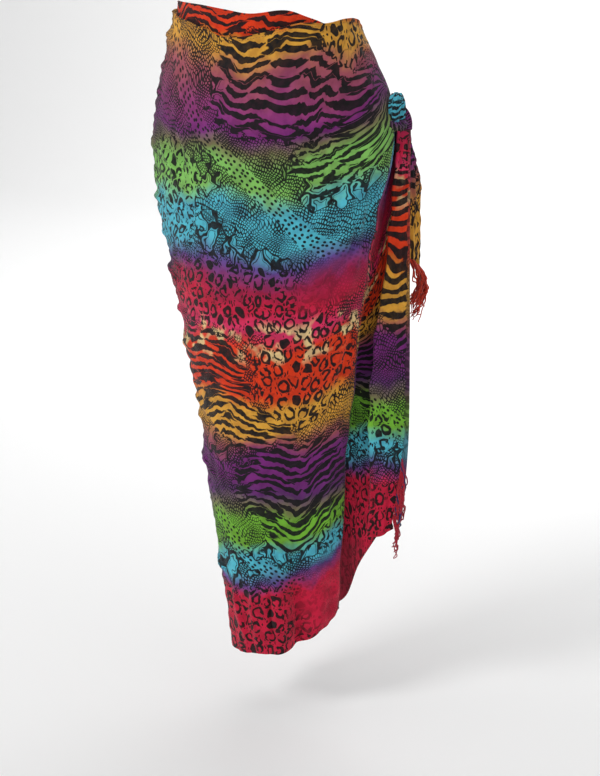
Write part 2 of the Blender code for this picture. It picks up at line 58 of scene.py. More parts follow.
# The worn form. Each section: height, half width, half depth, centre x, centre y, twist
SECTIONS = (
    (0.040, 0.136, 0.101, -0.013, 0.000, 0.0),
    (-0.020, 0.142, 0.104, -0.014, 0.000, 0.0),
    (-0.075, 0.162, 0.113, -0.009, 0.004, 0.0),
    (-0.130, 0.181, 0.124, -0.006, 0.008, 0.0),
    (-0.190, 0.189, 0.133, -0.005, 0.010, 0.0),
    (-0.250, 0.186, 0.134, -0.005, 0.008, 0.0),
    (-0.340, 0.169, 0.127, -0.005, 0.003, -3.0),
    (-0.420, 0.152, 0.120, -0.003, 0.000, -5.0),
    (-0.500, 0.140, 0.115, -0.004, 0.000, -7.0),
    (-0.570, 0.122, 0.111, -0.003, 0.002, -9.0),
    (-0.650, 0.107, 0.110, -0.006, 0.004, -11.0),
    (-0.780, 0.087, 0.103, -0.002, 0.006, -14.0),
    (-0.900, 0.070, 0.095, 0.010, 0.004, -17.0),
    (-1.000, 0.062, 0.086, 0.014, 0.004, -19.0),
)
# How far in each layer lies, the gap at a seam, that of the fall in gaps, and the radius at which
# the creases' angles count as lengths
LAYER_STEP = 0.0055
SEAM_GAP = 0.0005
FALL_SEAM = 2.4
CREASE_RADIUS = 0.150

# The knot: its place, its foot, the radius at which angles from it count as lengths, and for its
# folds and gathers the distances over which they start and their least width
KNOT_ANGLE = 87.0
KNOT_HEIGHT = -0.138
KNOT_FOOT = -0.1643
KNOT_REACH = 0.165
FOLD_NEAR = (0.015, 0.070)
FOLD_LEAST = 0.011
GATHER_NEAR = (0.012, 0.035)
GATHER_LEAST = 0.0035

# The front panel: where it starts and ends round the body, and how far the fall carries it out
PANEL_START = -100.0
PANEL_END = (
    (0.000, 106.0),
    (-0.060, 104.0),
    (-0.090, 98.0),
    (-0.120, 90.0),
    (-0.160, 81.0),
    (-0.200, 76.0),
    (-0.260, 71.0),
    (-0.340, 74.0),
    (-0.420, 77.0),
    (-0.500, 82.0),
    (-0.580, 89.0),
    (-0.680, 95.0),
    (-0.780, 99.0),
    (-1.000, 97.0),
)
RIDGE_LIFT = (
    (-0.080, 0.000),
    (-0.165, 0.013),
    (-0.220, 0.016),
    (-0.500, 0.016),
    (-0.650, 0.022),
    (-0.780, 0.027),
    (-0.950, 0.030),
)
# In degrees: how far its end wanders, how wide the ridge is, and how far the folds and then the
# creases fade before the end, and the creases after the start
PANEL_WANDER = 0.9
RIDGE_WIDTH = 42.0
CALM_WIDTH = 14.0
CREASE_CALM = 5.0
START_CALM = 8.0
# How far the ridge draws the print up, and how far it sags on the wearer's right side
RIDGE_DRAW = 0.036
RIGHT_SAG = 0.012
PANEL_TOP = (
    (-100.0, -0.004),
    (-72.0, -0.006),
    (-37.0, -0.016),
    (-20.0, -0.026),
    (-4.0, -0.036),
    (18.0, -0.028),
    (40.0, -0.015),
    (58.0, -0.016),
    (75.0, -0.011),
    (92.0, -0.013),
    (106.0, -0.026),
)
PANEL_HEM = (
    (-100.0, -0.962),
    (-60.0, -0.972),
    (-9.0, -0.973),
    (18.0, -0.969),
    (48.0, -0.965),
    (62.0, -0.960),
    (72.0, -0.950),
    (80.0, -0.932),
    (88.0, -0.924),
    (98.0, -0.905),
)
# The layer under the panel: its edges, and where its print starts along and down the cloth
INNER_START = -72.0
INNER_END = 84.0
INNER_ALONG = 0.045
INNER_DROP = 0.004
INNER_TOP = (
    (-72.0, 0.008),
    (-62.0, 0.009),
    (-28.0, 0.007),
    (-8.0, 0.002),
    (9.0, -0.003),
    (31.0, 0.002),
    (45.0, -0.007),
    (60.0, -0.020),
    (84.0, -0.058),
)
INNER_HEM = ((-72.0, -0.935), (0.0, -0.930), (45.0, -0.920), (84.0, -0.895))
# The back: its far end, where its folds start, where it comes out from under the panel, where it
# joins the panel's start, and where its print does
BACK_END = 260.0
BACK_CLEAR = (108.0, 126.0)
BACK_RISES = (112.0, 150.0)
BACK_JOINS = 236.0
BACK_PRINT_JOINS = (200.0, 258.0)
BACK_TOP = (
    (84.0, -0.060),
    (110.0, -0.064),
    (140.0, -0.048),
    (185.0, -0.036),
    (220.0, -0.026),
    (245.0, -0.010),
    (260.0, -0.004),
)
BACK_HEM = (
    (84.0, -0.897),
    (98.0, -0.870),
    (112.0, -0.815),
    (124.0, -0.850),
    (140.0, -0.905),
    (170.0, -0.935),
    (215.0, -0.950),
    (260.0, -0.958),
)
# The flare of the back beside the fall: its angle, spread, depth and the heights it grows between
FLARE_ANGLE = 116.0
FLARE_SPREAD = 13.0
FLARE_LIFT = 0.022
FLARE_HEIGHTS = (-0.42, -0.80)

# Tension folds from the knot: angle above the horizontal, reach, lift, spread
FRONT_FAN = (
    (38.0, 0.20, 0.0050, 8.0),
    (14.0, 0.27, 0.0080, 6.0),
    (-4.0, 0.33, 0.0095, 5.5),
    (-20.0, 0.31, 0.0085, 5.0),
    (-35.0, 0.36, 0.0095, 5.0),
    (-50.0, 0.34, 0.0085, 4.5),
    (-63.0, 0.44, 0.0090, 4.0),
    (-75.0, 0.50, 0.0080, 3.5),
)
BACK_FAN = (
    (30.0, 0.20, 0.0050, 8.0),
    (8.0, 0.28, 0.0070, 6.0),
    (-14.0, 0.32, 0.0075, 6.0),
    (-34.0, 0.36, 0.0080, 5.5),
    (-54.0, 0.40, 0.0080, 5.0),
    (-70.0, 0.46, 0.0075, 4.0),
)
# Gathers close to the knot, in the same columns
FRONT_GATHERS = (
    (52.0, 0.075, 0.0022, 5.0),
    (31.0, 0.100, 0.0028, 4.5),
    (21.0, 0.085, 0.0020, 3.5),
    (5.0, 0.110, 0.0030, 4.0),
    (-11.0, 0.120, 0.0026, 3.5),
    (-27.0, 0.105, 0.0028, 4.0),
    (-42.0, 0.130, 0.0030, 4.0),
    (-57.0, 0.120, 0.0024, 3.5),
    (-69.0, 0.150, 0.0026, 3.5),
)

# Long folds that hang: angle, half width in degrees, top, foot, lift at the foot, lean
PANEL_HANGS = (
    (60.0, 6.0, -0.74, -0.96, -0.0120, 8.0),
    (76.0, 7.0, -0.66, -0.96, 0.0080, 3.0),
    (42.0, 9.0, -0.70, -0.96, 0.0080, 4.0),
    (8.0, 12.0, -0.78, -0.96, -0.0050, 0.0),
    (-30.0, 10.0, -0.66, -0.96, 0.0065, -4.0),
    (-58.0, 9.0, -0.52, -0.96, -0.0060, -3.0),
    (-84.0, 8.0, -0.46, -0.96, 0.0070, 0.0),
)
BACK_HANGS = (
    (142.0, 8.0, -0.44, -0.94, -0.0070, -4.0),
    (163.0, 9.0, -0.36, -0.94, 0.0100, 0.0),
    (186.0, 8.0, -0.48, -0.94, -0.0075, 3.0),
    (207.0, 9.0, -0.40, -0.94, 0.0095, 3.0),
    (232.0, 8.0, -0.48, -0.94, -0.0065, 4.0),
    (250.0, 7.0, -0.44, -0.94, 0.0065, 2.0),
)

# Buckles round the body: height, half height, angle, half width in degrees, lift
PANEL_BUCKLES = (
    (-0.046, 0.012, -88.0, 30.0, 0.0040),
    (-0.300, 0.014, -78.0, 26.0, 0.0035),
    (-0.405, 0.020, -86.0, 34.0, 0.0070),
    (-0.470, 0.014, -70.0, 26.0, -0.0035),
    (-0.545, 0.018, -84.0, 30.0, 0.0050),
    (-0.630, 0.016, -66.0, 30.0, -0.0040),
    (-0.705, 0.018, -80.0, 34.0, 0.0045),
    (-0.790, 0.016, -70.0, 28.0, -0.0040),
    (-0.850, 0.016, -86.0, 26.0, 0.0040),
)
BACK_BUCKLES = (
    (-0.260, 0.022, 170.0, 60.0, -0.0045),
    (-0.330, 0.016, 196.0, 44.0, 0.0050),
    (-0.430, 0.018, 226.0, 34.0, 0.0050),
    (-0.520, 0.016, 240.0, 30.0, -0.0040),
    (-0.560, 0.020, 150.0, 40.0, 0.0045),
    (-0.640, 0.016, 190.0, 50.0, -0.0040),
)

# Creases listed one by one, from one place to another: angle, height, angle, height, half width,
# lift
FRONT_CREASES = (
    (18, -0.184, 62, -0.126, 0.0080, 0.0040),
    (20, -0.200, 58, -0.146, 0.0060, -0.0030),
    (4, -0.150, 46, -0.094, 0.0070, 0.0026),
    (-2, -0.112, 34, -0.080, 0.0080, -0.0022),
    (56, -0.255, 63, -0.360, 0.0045, -0.0034),
    (51, -0.240, 57, -0.340, 0.0060, 0.0024),
    (66, -0.195, 68, -0.370, 0.0060, -0.0040),
    (46, -0.215, 50, -0.310, 0.0055, -0.0020),
    (-52, -0.165, -33, -0.250, 0.0055, 0.0042),
    (-38, -0.160, -25, -0.245, 0.0045, -0.0030),
    (-74, -0.105, -44, -0.135, 0.0050, 0.0022),
    (-80, -0.032, -40, -0.044, 0.0050, 0.0024),
    (-84, -0.082, -52, -0.086, 0.0055, 0.0026),
    (-86, -0.180, -50, -0.205, 0.0050, 0.0030),
    (-80, -0.222, -46, -0.238, 0.0045, -0.0026),
    (-84, -0.268, -40, -0.286, 0.0055, 0.0034),
    (-86, -0.318, -44, -0.330, 0.0050, 0.0030),
    (-82, -0.350, -30, -0.372, 0.0050, -0.0028),
    (-88, -0.384, -38, -0.392, 0.0060, 0.0036),
    (-84, -0.436, -36, -0.452, 0.0050, 0.0026),
    (-80, -0.498, -28, -0.482, 0.0060, 0.0028),
    (-86, -0.524, -34, -0.520, 0.0045, -0.0024),
    (-84, -0.574, -38, -0.590, 0.0050, 0.0028),
    (-76, -0.612, -24, -0.604, 0.0055, 0.0022),
    (-70, -0.664, -14, -0.688, 0.0070, 0.0040),
    (-66, -0.682, -18, -0.712, 0.0050, -0.0030),
    (-80, -0.740, -30, -0.734, 0.0050, 0.0024),
    (-62, -0.818, -12, -0.842, 0.0060, 0.0036),
    (-78, -0.866, -30, -0.878, 0.0050, 0.0022),
    (-10, -0.840, 2, -0.975, 0.0110, 0.0032),
    (14, -0.800, 20, -0.970, 0.0100, 0.0030),
    (33, -0.850, 44, -0.962, 0.0065, -0.0050),
    (24, -0.620, 60, -0.560, 0.0090, 0.0022),
    (-6, -0.520, 40, -0.470, 0.0100, 0.0020),
    (0, -0.330, 44, -0.385, 0.0110, 0.0022),
    (30, -0.700, 66, -0.655, 0.0080, -0.0020),
    (70, -0.420, 74, -0.640, 0.0060, -0.0030),
    (79, -0.600, 86, -0.860, 0.0060, 0.0026),
)
BACK_CREASES = (
    (112, -0.180, 150, -0.120, 0.0070, 0.0036),
    (114, -0.205, 156, -0.165, 0.0060, -0.0028),
    (112, -0.230, 160, -0.235, 0.0070, 0.0032),
    (114, -0.262, 158, -0.300, 0.0060, 0.0028),
    (116, -0.300, 150, -0.372, 0.0060, -0.0026),
    (122, -0.330, 140, -0.450, 0.0060, 0.0030),
    (165, -0.290, 215, -0.276, 0.0070, 0.0026),
    (172, -0.345, 226, -0.352, 0.0060, -0.0024),
    (180, -0.395, 240, -0.386, 0.0060, 0.0028),
    (150, -0.470, 196, -0.452, 0.0070, 0.0024),
    (196, -0.500, 246, -0.486, 0.0060, 0.0030),
    (148, -0.600, 186, -0.622, 0.0060, 0.0026),
    (200, -0.590, 246, -0.604, 0.0060, -0.0026),
    (176, -0.690, 222, -0.676, 0.0060, 0.0026),
    (206, -0.760, 248, -0.744, 0.0060, 0.0028),
    (140, -0.720, 170, -0.752, 0.0060, 0.0024),
    (176, -0.100, 226, -0.088, 0.0070, 0.0022),
    (214, -0.160, 250, -0.190, 0.0060, 0.0026),
)

# The fine crumple: its depth in front and at the sides, and its upright part
CRUMPLE_LEAST = 0.00040
CRUMPLE_SIDE = 0.00100
CRUMPLE_UPRIGHT = 0.00055

# The fall beside the panel: x and y of places across it below the knot, half way down and low
FALL_TOP = KNOT_FOOT
FALL_MIDDLE = -0.600
FALL_LOW = -0.800
FALL_PLACES = (
    (0.1835, -0.0030, 0.1270, -0.0060, 0.1130, 0.0120),
    (0.1885, -0.0020, 0.1450, 0.0010, 0.1340, 0.0110),
    (0.1940, 0.0005, 0.1650, 0.0070, 0.1550, 0.0110),
    (0.2000, 0.0040, 0.1860, 0.0165, 0.1750, 0.0165),
    (0.2055, 0.0075, 0.2020, 0.0245, 0.1930, 0.0225),
    (0.2090, 0.0070, 0.2080, 0.0235, 0.1990, 0.0220),
    (0.2060, 0.0030, 0.2030, 0.0190, 0.1940, 0.0170),
    (0.2015, -0.0008, 0.1860, 0.0080, 0.1790, 0.0070),
    (0.1975, -0.0048, 0.1690, -0.0030, 0.1660, -0.0035),
    (0.1955, -0.0100, 0.1600, -0.0115, 0.1590, -0.0120),
    (0.1980, -0.0138, 0.1640, -0.0165, 0.1630, -0.0165),
    (0.2020, -0.0095, 0.1810, -0.0045, 0.1740, -0.0095),
    (0.2065, -0.0050, 0.1960, 0.0050, 0.1830, -0.0040),
    (0.2095, -0.0010, 0.2060, 0.0110, 0.1910, 0.0010),
)
FALL_HEM = (
    (0.00, -0.905),
    (0.36, -0.900),
    (0.41, -0.888),
    (0.45, -0.838),
    (0.50, -0.797),
    (0.55, -0.758),
    (0.60, -0.718),
    (0.64, -0.702),
    (0.69, -0.712),
    (0.77, -0.755),
    (0.82, -0.770),
    (0.91, -0.776),
    (1.00, -0.764),
)
# The turn behind the panel: degrees that it goes back at the top and at the hem, its last step,
# and how deep its places lie under the panel
RETURN_AT_TOP = 4.0
RETURN_AT_HEM = 15.0
TURN_STEP = 2.4
TURN_OFFSETS = (0.0, 0.0025, 0.0056, 0.0058, 0.0062, 0.0090, 0.0118, 0.0122, 0.0124)
# Shares across the fall: where the turn gives way to the pleats, where the face starts, its
# ridge, and where the frilled rim starts
TURN_ENDS = (0.40, 0.52)
FACE_STARTS = 0.82
FACE_RIDGE = 0.845
RIM_STARTS = 0.965
# How far the rim frills, coarsely and finely, and how far the ridge sways
FRILL = 0.0011
FINE_FRILL = 0.0007
RIDGE_SWAY = 0.0018
# The heights between which the inner part below the fall shows its turned side, dulled and
# darkened there with painted shade
TURNED_AND_SHADED_HEIGHTS = (-0.780, -0.815)

# Ripples down the fall's front: share across, half width, lift, waves down the fall, phase
FALL_RIPPLES = (
    (0.850, 0.012, 0.0022, 1.6, 0.3),
    (0.885, 0.014, -0.0020, 1.1, 1.4),
    (0.925, 0.013, 0.0024, 1.9, 2.2),
    (0.960, 0.010, -0.0018, 2.4, 0.8),
    (0.700, 0.020, 0.0012, 1.3, 1.9),
    (0.520, 0.020, 0.0014, 1.7, 0.2),
)
# Small folds across the fall: height, half height, lift
FALL_BUCKLES = (
    (-0.205, 0.007, 0.0020),
    (-0.262, 0.006, 0.0016),
    (-0.318, 0.009, 0.0024),
    (-0.395, 0.007, 0.0018),
    (-0.476, 0.010, 0.0024),
    (-0.548, 0.007, -0.0016),
    (-0.610, 0.009, 0.0022),
    (-0.688, 0.008, -0.0016),
)

# The loose corner below the knot: x and y of places across it at the top and opened out
TAIL_TOP = KNOT_FOOT
TAIL_OPEN = -0.262
TAIL_PLACES = (
    (0.1990, 0.0145, 0.2015, 0.0225),
    (0.2020, 0.0170, 0.2095, 0.0290),
    (0.1990, 0.0200, 0.2070, 0.0385),
    (0.2020, 0.0225, 0.2095, 0.0465),
    (0.1990, 0.0255, 0.2050, 0.0545),
    (0.2010, 0.0285, 0.2060, 0.0630),
)
TAIL_HEM = ((0.0, -0.352), (0.4, -0.362), (1.0, -0.378))
# The drop of the print on it, by height, and how far along the cloth it lies
TAIL_DRAW = ((-0.160, 0.700), (-0.205, 0.650), (-0.245, 0.617), (-0.380, 0.562))
TAIL_ALONG = 0.088
# How much deeper the crumple is on it
TAIL_CRUMPLE = 1.6

# Gathered bundles of the knot: share along, x, y, z, radius, drop of the print
LOOP_PATH = (
    (0.00, 0.1910, 0.0060, -0.1610, 0.0056, 0.350),
    (0.20, 0.1925, 0.0068, -0.1450, 0.0074, 0.322),
    (0.38, 0.1920, 0.0048, -0.1270, 0.0084, 0.300),
    (0.50, 0.1905, -0.0015, -0.1195, 0.0085, 0.292),
    (0.62, 0.1900, -0.0075, -0.1255, 0.0082, 0.300),
    (0.80, 0.1900, -0.0095, -0.1420, 0.0074, 0.322),
    (1.00, 0.1905, -0.0070, -0.1600, 0.0056, 0.350),
)
WRAP_PATH = (
    (0.00, 0.1770, -0.0220, -0.1480, 0.0045, 0.700),
    (0.25, 0.1860, -0.0170, -0.1560, 0.0066, 0.705),
    (0.50, 0.1950, -0.0050, -0.1590, 0.0074, 0.710),
    (0.75, 0.1965, 0.0080, -0.1560, 0.0074, 0.705),
    (1.00, 0.1880, 0.0210, -0.1490, 0.0050, 0.700),
)
TUCK_PATH = (
    (0.00, 0.1860, 0.0180, -0.1330, 0.0060, 0.150),
    (0.35, 0.1930, 0.0185, -0.1430, 0.0082, 0.155),
    (0.70, 0.1975, 0.0195, -0.1560, 0.0080, 0.160),
    (1.00, 0.1990, 0.0205, -0.1670, 0.0066, 0.165),
)

# Each bundle's path, pleats and their depth
KNOT_BUNDLES = ((LOOP_PATH, 9, 0.085), (WRAP_PATH, 7, 0.080), (TUCK_PATH, 8, 0.080))
# How much finer the stripes are on the knot, and how far the print runs along and round a bundle
KNOT_FINER = 1.8
BUNDLE_ALONG = 0.09
BUNDLE_ROUND = 0.010

# Where the cloth's short end is fringed
FALL_FRINGE_TOP = -0.655
FALL_FRINGE_FOOT = -0.752
# How far the hem's stitches lie in from its edge, and above the cloth
STITCH_INSET = 0.0042
STITCH_RISE = 0.0001

# The print repeats round the body at this width. Its drop is the depth of the cloth
TILE_WIDTH = 0.620
TILE_DROP = 1.020
# The drop of the print at the panel's top edge, and how far down that shift eases away
PANEL_PRINT_TOP = 0.047
PANEL_PRINT_EASE = 0.150
# Patches of each kind of marking: along, drop, half width, half drop, turn
TIGER_PATCHES = (
    (0.030, -0.005, 0.200, 0.036, 0),
    (0.085, 0.078, 0.115, 0.056, 3),
    (0.100, 0.132, 0.125, 0.046, 0),
    (0.180, 0.190, 0.085, 0.055, -20),
    (-0.055, 0.522, 0.082, 0.070, 0),
    (0.010, 0.592, 0.090, 0.034, 15),
    (0.105, 0.690, 0.098, 0.068, 0),
    (0.125, 0.766, 0.078, 0.036, -12),
    (0.272, 0.520, 0.064, 0.074, 0),
    (0.288, 0.605, 0.042, 0.046, -25),
    (0.300, 0.655, 0.026, 0.026, -30),
    (-0.260, 0.130, 0.060, 0.070, 10),
    (-0.250, 0.700, 0.070, 0.060, -8),
)
# Which way the stripes slant: along, drop, degrees down towards the wearer's left
STRIPE_SLANTS = (
    (-0.120, 0.005, 22),
    (0.000, 0.012, 24),
    (0.090, 0.012, 22),
    (0.170, 0.010, 14),
    (0.010, 0.070, 26),
    (0.075, 0.068, 22),
    (0.145, 0.090, 8),
    (0.000, 0.120, 30),
    (0.060, 0.118, 10),
    (0.050, 0.155, 24),
    (0.130, 0.145, -14),
    (0.120, 0.195, -18),
    (0.200, 0.190, -34),
    (-0.110, 0.480, 26),
    (-0.040, 0.495, 22),
    (-0.080, 0.550, -8),
    (-0.050, 0.590, -24),
    (0.030, 0.590, 20),
    (0.020, 0.680, -14),
    (0.080, 0.660, 14),
    (0.150, 0.690, -10),
    (0.080, 0.735, 22),
    (0.140, 0.770, -30),
    (0.270, 0.470, -12),
    (0.290, 0.540, 12),
    (0.300, 0.620, -24),
    (-0.260, 0.130, 20),
    (-0.230, 0.700, -18),
)
# How far each slant reaches
SLANT_REACH = 0.040
# Where the stripes run evenly across the fall: along, width, drop, height
EVEN_ALONG = 0.272
EVEN_WIDTH = 0.045
EVEN_DROP = 0.530
EVEN_HEIGHT = 0.140
# The arches of those stripes
ARCH_RISE = 0.0045
ARCH_SLANT = 0.12
ARCH_WOBBLE = 0.0030
# Where the stripes sweep into the knot: along, drop, least radius and the radii it fades between
SWEEP_ALONG = 0.246
SWEEP_DROP = 0.150
SWEEP_LEAST = 0.055
SWEEP_FADE = (0.05, 0.19)
LEOPARD_PATCHES = (
    (0.172, 0.055, 0.072, 0.050, 0),
    (-0.128, 0.264, 0.070, 0.085, 8),
    (0.000, 0.404, 0.135, 0.056, 5),
    (0.108, 0.508, 0.078, 0.092, 0),
    (0.035, 0.930, 0.125, 0.072, 0),
    (0.172, 0.800, 0.030, 0.040, 0),
    (0.270, 0.402, 0.048, 0.042, 0),
    (0.250, 0.792, 0.030, 0.034, 0),
    (0.262, 0.918, 0.085, 0.048, 0),
    (-0.240, 0.450, 0.060, 0.070, 12),
    (-0.190, 0.900, 0.090, 0.060, 0),
)
RAGGED_PATCHES = (
    (-0.010, 0.105, 0.018, 0.034, 0),
    (0.085, 0.162, 0.034, 0.020, 0),
    (0.113, 0.218, 0.032, 0.038, 10),
    (0.130, 0.254, 0.026, 0.024, 0),
    (0.178, 0.259, 0.036, 0.020, -10),
    (-0.070, 0.222, 0.048, 0.028, 10),
    (-0.028, 0.312, 0.038, 0.032, 20),
    (0.035, 0.346, 0.044, 0.022, 10),
    (0.125, 0.394, 0.032, 0.020, 0),
    (-0.020, 0.634, 0.038, 0.026, 0),
    (0.100, 0.802, 0.078, 0.020, 5),
    (-0.035, 0.832, 0.050, 0.034, 0),
    (0.234, 0.585, 0.022, 0.032, 0),
    (0.262, 0.832, 0.032, 0.022, 0),
    (-0.230, 0.300, 0.050, 0.040, -20),
)
# Patches where the markings fade into plain dye
PLAIN_PATCHES = (
    (0.160, 0.894, 0.078, 0.066, 0),
    (0.152, 0.388, 0.058, 0.040, 0),
)
# The courses of the dotted bands: along, drop
BAND_COURSES = (
    (
        (-0.135, 0.030),
        (-0.112, 0.085),
        (-0.068, 0.140),
        (-0.025, 0.190),
        (0.046, 0.248),
        (0.104, 0.307),
        (0.190, 0.378),
    ),
    ((-0.075, 0.690), (-0.030, 0.742), (0.020, 0.800), (0.078, 0.853), (0.165, 0.905)),
    ((0.215, 0.725), (0.262, 0.772), (0.330, 0.815)),
)
# Half the width of those bands, and a distance further off than any
BAND_HALF = 0.0128
FAR_OFF = 9.0
# How far along the cloth its short end lies, on the fall
FALL_ALONG = 0.290
# Past this drop the fall's cloth is turned back, so its print runs up again
FALL_TURN_DROP = 0.980

# The dye down the cloth: drop, colour
DYES = (
    (0.000, "flame"),
    (0.032, "flame"),
    (0.050, "gold"),
    (0.072, "gold"),
    (0.096, "mauve"),
    (0.130, "plum"),
    (0.162, "purple"),
    (0.184, "olive"),
    (0.206, "green"),
    (0.240, "green"),
    (0.268, "sky"),
    (0.322, "sky"),
    (0.352, "violet"),
    (0.382, "wine"),
    (0.416, "crimson"),
    (0.450, "rose"),
    (0.478, "flame"),
    (0.545, "flame"),
    (0.572, "gold"),
    (0.612, "gold"),
    (0.632, "mauve"),
    (0.652, "purple"),
    (0.690, "purple"),
    (0.710, "grape"),
    (0.730, "olive"),
    (0.750, "lime"),
    (0.786, "lime"),
    (0.812, "sky"),
    (0.830, "sky"),
    (0.850, "violet"),
    (0.872, "crimson"),
    (1.000, "crimson"),
)
# How far the dye runs in wide drifts and in blots, and the pale blotches among it
DYE_SPREAD = 0.052
DYE_BLOT = 0.026
PALE_DROP = 0.468
PALE_HALF = 0.028
# Tones that dull the dye: mottling, the cloth turned back (dulled, and darkened as painted shade
# in the recess behind the panel), the print's reverse, strand flecks
MOTTLE_TONE = (0.52, 0.42, 0.50, 1.0)
TURNED_SIDE_SHADE_TONE = (0.10, 0.02, 0.03, 1.0)
REVERSE_TONE = (0.16, 0.10, 0.10, 1.0)
FLECK_TONE = (0.35, 0.20, 0.22, 1.0)
# The weave's waves to the metre, in radians
WEAVE_TURNS = 7200.0

# How far up the print is drawn on the fall's face and in the turn: height, lift, lift
FALL_DRAW = (
    (-0.160, 0.208, 0.150),
    (-0.250, 0.226, 0.115),
    (-0.320, 0.212, 0.085),
    (-0.400, 0.190, 0.082),
    (-0.460, 0.184, 0.120),
    (-0.540, 0.182, 0.170),
    (-0.620, 0.180, 0.180),
    (-0.900, 0.180, 0.180),
)

# The floor's front and back, the radius where it turns up, the wall's top and the half width
FLOOR_FRONT = -6.0
FLOOR_BACK = 4.0
WALL_TURN = 0.8
WALL_TOP = 7.0
FLOOR_HALF = 9.0
# Lights: name, place, aim, size, power
BODY_MIDDLE = (0.0, 0.0, -0.48)
LAMPS = (
    ("key", (-1.5, -2.8, 1.9), BODY_MIDDLE, 1.2, 58.0),
    ("fill", (3.0, -1.6, 0.3), BODY_MIDDLE, 2.0, 10.0),
    ("left fill", (-3.0, -0.8, 0.4), BODY_MIDDLE, 2.0, 8.0),
    ("backdrop light", (0.0, 2.4, 2.4), (0.0, 5.0, -0.4), 3.0, 110.0),
)
# The frame's long side, the focal length and the body's place beside the middle, in pixels
FRAME_PIXELS = 776
FOCAL_PIXELS = 1772
MIDDLE_PIXELS = 25


def linear(red, green, blue):
    """A colour as a screen shows it, from 0 to 255, as the linear light that Blender keeps."""
    parts = []
    for level in (red, green, blue):
        share = level / 255
        parts.append(share / 12.92 if share < 0.04045 else ((share + 0.055) / 1.055) ** 2.4)
    return tuple(parts)


def dye(name, *levels):
    """The colour of one dye, for a user to change."""
    return FloatVectorProperty(
        name=name,
        description="Colour of the " + name.lower() + " dye",
        default=linear(*levels),
        size=3,
        min=0.0,
        max=1.0,
        subtype="COLOR",
    )


def length_field(name, description, default, least, most):
    """A length for a user to change."""
    return FloatProperty(
        name=name, description=description, default=default, min=least, max=most, unit="LENGTH"
    )


def angle_field(name, description, degrees, most):
    """An angle for a user to change, as far as most either way."""
    return FloatProperty(
        name=name,
        description=description,
        default=math.radians(degrees),
        min=-most,
        max=most,
        subtype="ANGLE",
    )


def count_field(name, description, default):
    """A number of strands for a user to change."""
    return IntProperty(name=name, description=description, default=default, min=4, max=200)


class SarongCloth(PropertyGroup):
    thickness: length_field(
        "Cloth thickness", "Thickness of the woven cloth", 0.0008, 0.0002, 0.003
    )
    crease_share: FloatProperty(
        name="Crease strength",
        description="How deep the creases set by hand are",
        default=1.35,
        min=0.0,
        max=2.0,
        subtype="FACTOR",
    )
    roll_radius: length_field(
        "Hem roll", "Radius of the rolled hem on the long edges", 0.0011, 0.0004, 0.003
    )
    stitch_pitch: length_field(
        "Stitch pitch", "Distance from one hem stitch to the next", 0.0042, 0.002, 0.01
    )


class SarongPrint(PropertyGroup):
    flame: dye("Flame", 226, 58, 16)
    gold: dye("Gold", 224, 164, 58)
    mauve: dye("Mauve", 166, 84, 92)
    plum: dye("Plum", 146, 54, 118)
    purple: dye("Purple", 122, 38, 122)
    grape: dye("Grape", 96, 44, 110)
    olive: dye("Olive", 128, 124, 84)
    green: dye("Green", 132, 196, 96)
    lime: dye("Lime", 118, 186, 54)
    sky: dye("Sky", 84, 192, 212)
    violet: dye("Violet", 98, 70, 146)
    wine: dye("Wine", 168, 26, 72)
    crimson: dye("Crimson", 206, 24, 62)
    rose: dye("Rose", 224, 52, 104)
    cream: dye("Cream", 236, 214, 150)
    mark: dye("Mark", 15, 13, 16)
    stripe_pitch: length_field(
        "Stripe pitch", "Distance from one tiger stripe to the next", 0.0138, 0.005, 0.05
    )
    rosette: length_field(
        "Rosette size", "Distance from one leopard rosette to the next", 0.0178, 0.005, 0.05
    )
    scale_size: length_field(
        "Scale size", "Width of one snake scale in the net", 0.0039, 0.002, 0.02
    )
    dot_pitch: length_field(
        "Dot pitch", "Distance from one dot of the dotted band to the next", 0.0072, 0.004, 0.02
    )
    outline: length_field(
        "Outline size", "Width of one ragged outlined shape", 0.032, 0.01, 0.08
    )


class SarongFringe(PropertyGroup):
    fall_strands: count_field(
        "Strands on the fall", "Number of strands on the short end of the cloth", 36
    )
    tail_strands: count_field(
        "Strands on the corner", "Number of strands on the loose corner", 46
    )
    radius: length_field("Strand radius", "Radius of one twisted strand", 0.00125, 0.0003, 0.002)
    fall_length: length_field(
        "Length on the fall", "Longest strand on the short end of the cloth", 0.074, 0.02, 0.15
    )
    tail_length: length_field(
        "Length on the corner", "Longest strand on the loose corner", 0.076, 0.02, 0.15
    )


class SarongStage(PropertyGroup):
    distance: length_field(
        "Camera distance", "Level distance from the waist's axis to the camera", 2.6, 1.0, 10.0
    )
    camera_height: length_field(
        "Camera height", "Height of the camera above the waist", 0.15, -1.0, 2.0
    )
    side: angle_field(
        "Camera side", "How far the camera stands round towards the wearer's left", 25.0, math.pi
    )
    tilt: angle_field("Camera tilt", "How far the camera looks down", 15.4, 1.5)
    floor_height: length_field(
        "Floor height", "Height of the floor under the hem", -1.075, -2.0, -0.9
    )


def neighbours(last):
    """For each place from 0 to the last, the place before it and the place after it."""
    places = np.arange(last + 1)
    return np.maximum(places - 1, 0), np.minimum(places + 1, last)


def curve_between(t, start, end, leaving, arriving):
    """Smooth curves from start to end, at shares t, with these slopes at the two ends."""
    keep = 2 * t**3 - 3 * t**2 + 1
    near = start * keep + leaving * (t**3 - 2 * t**2 + t)
    return near + end * (1 - keep) + arriving * (t**3 - t**2)


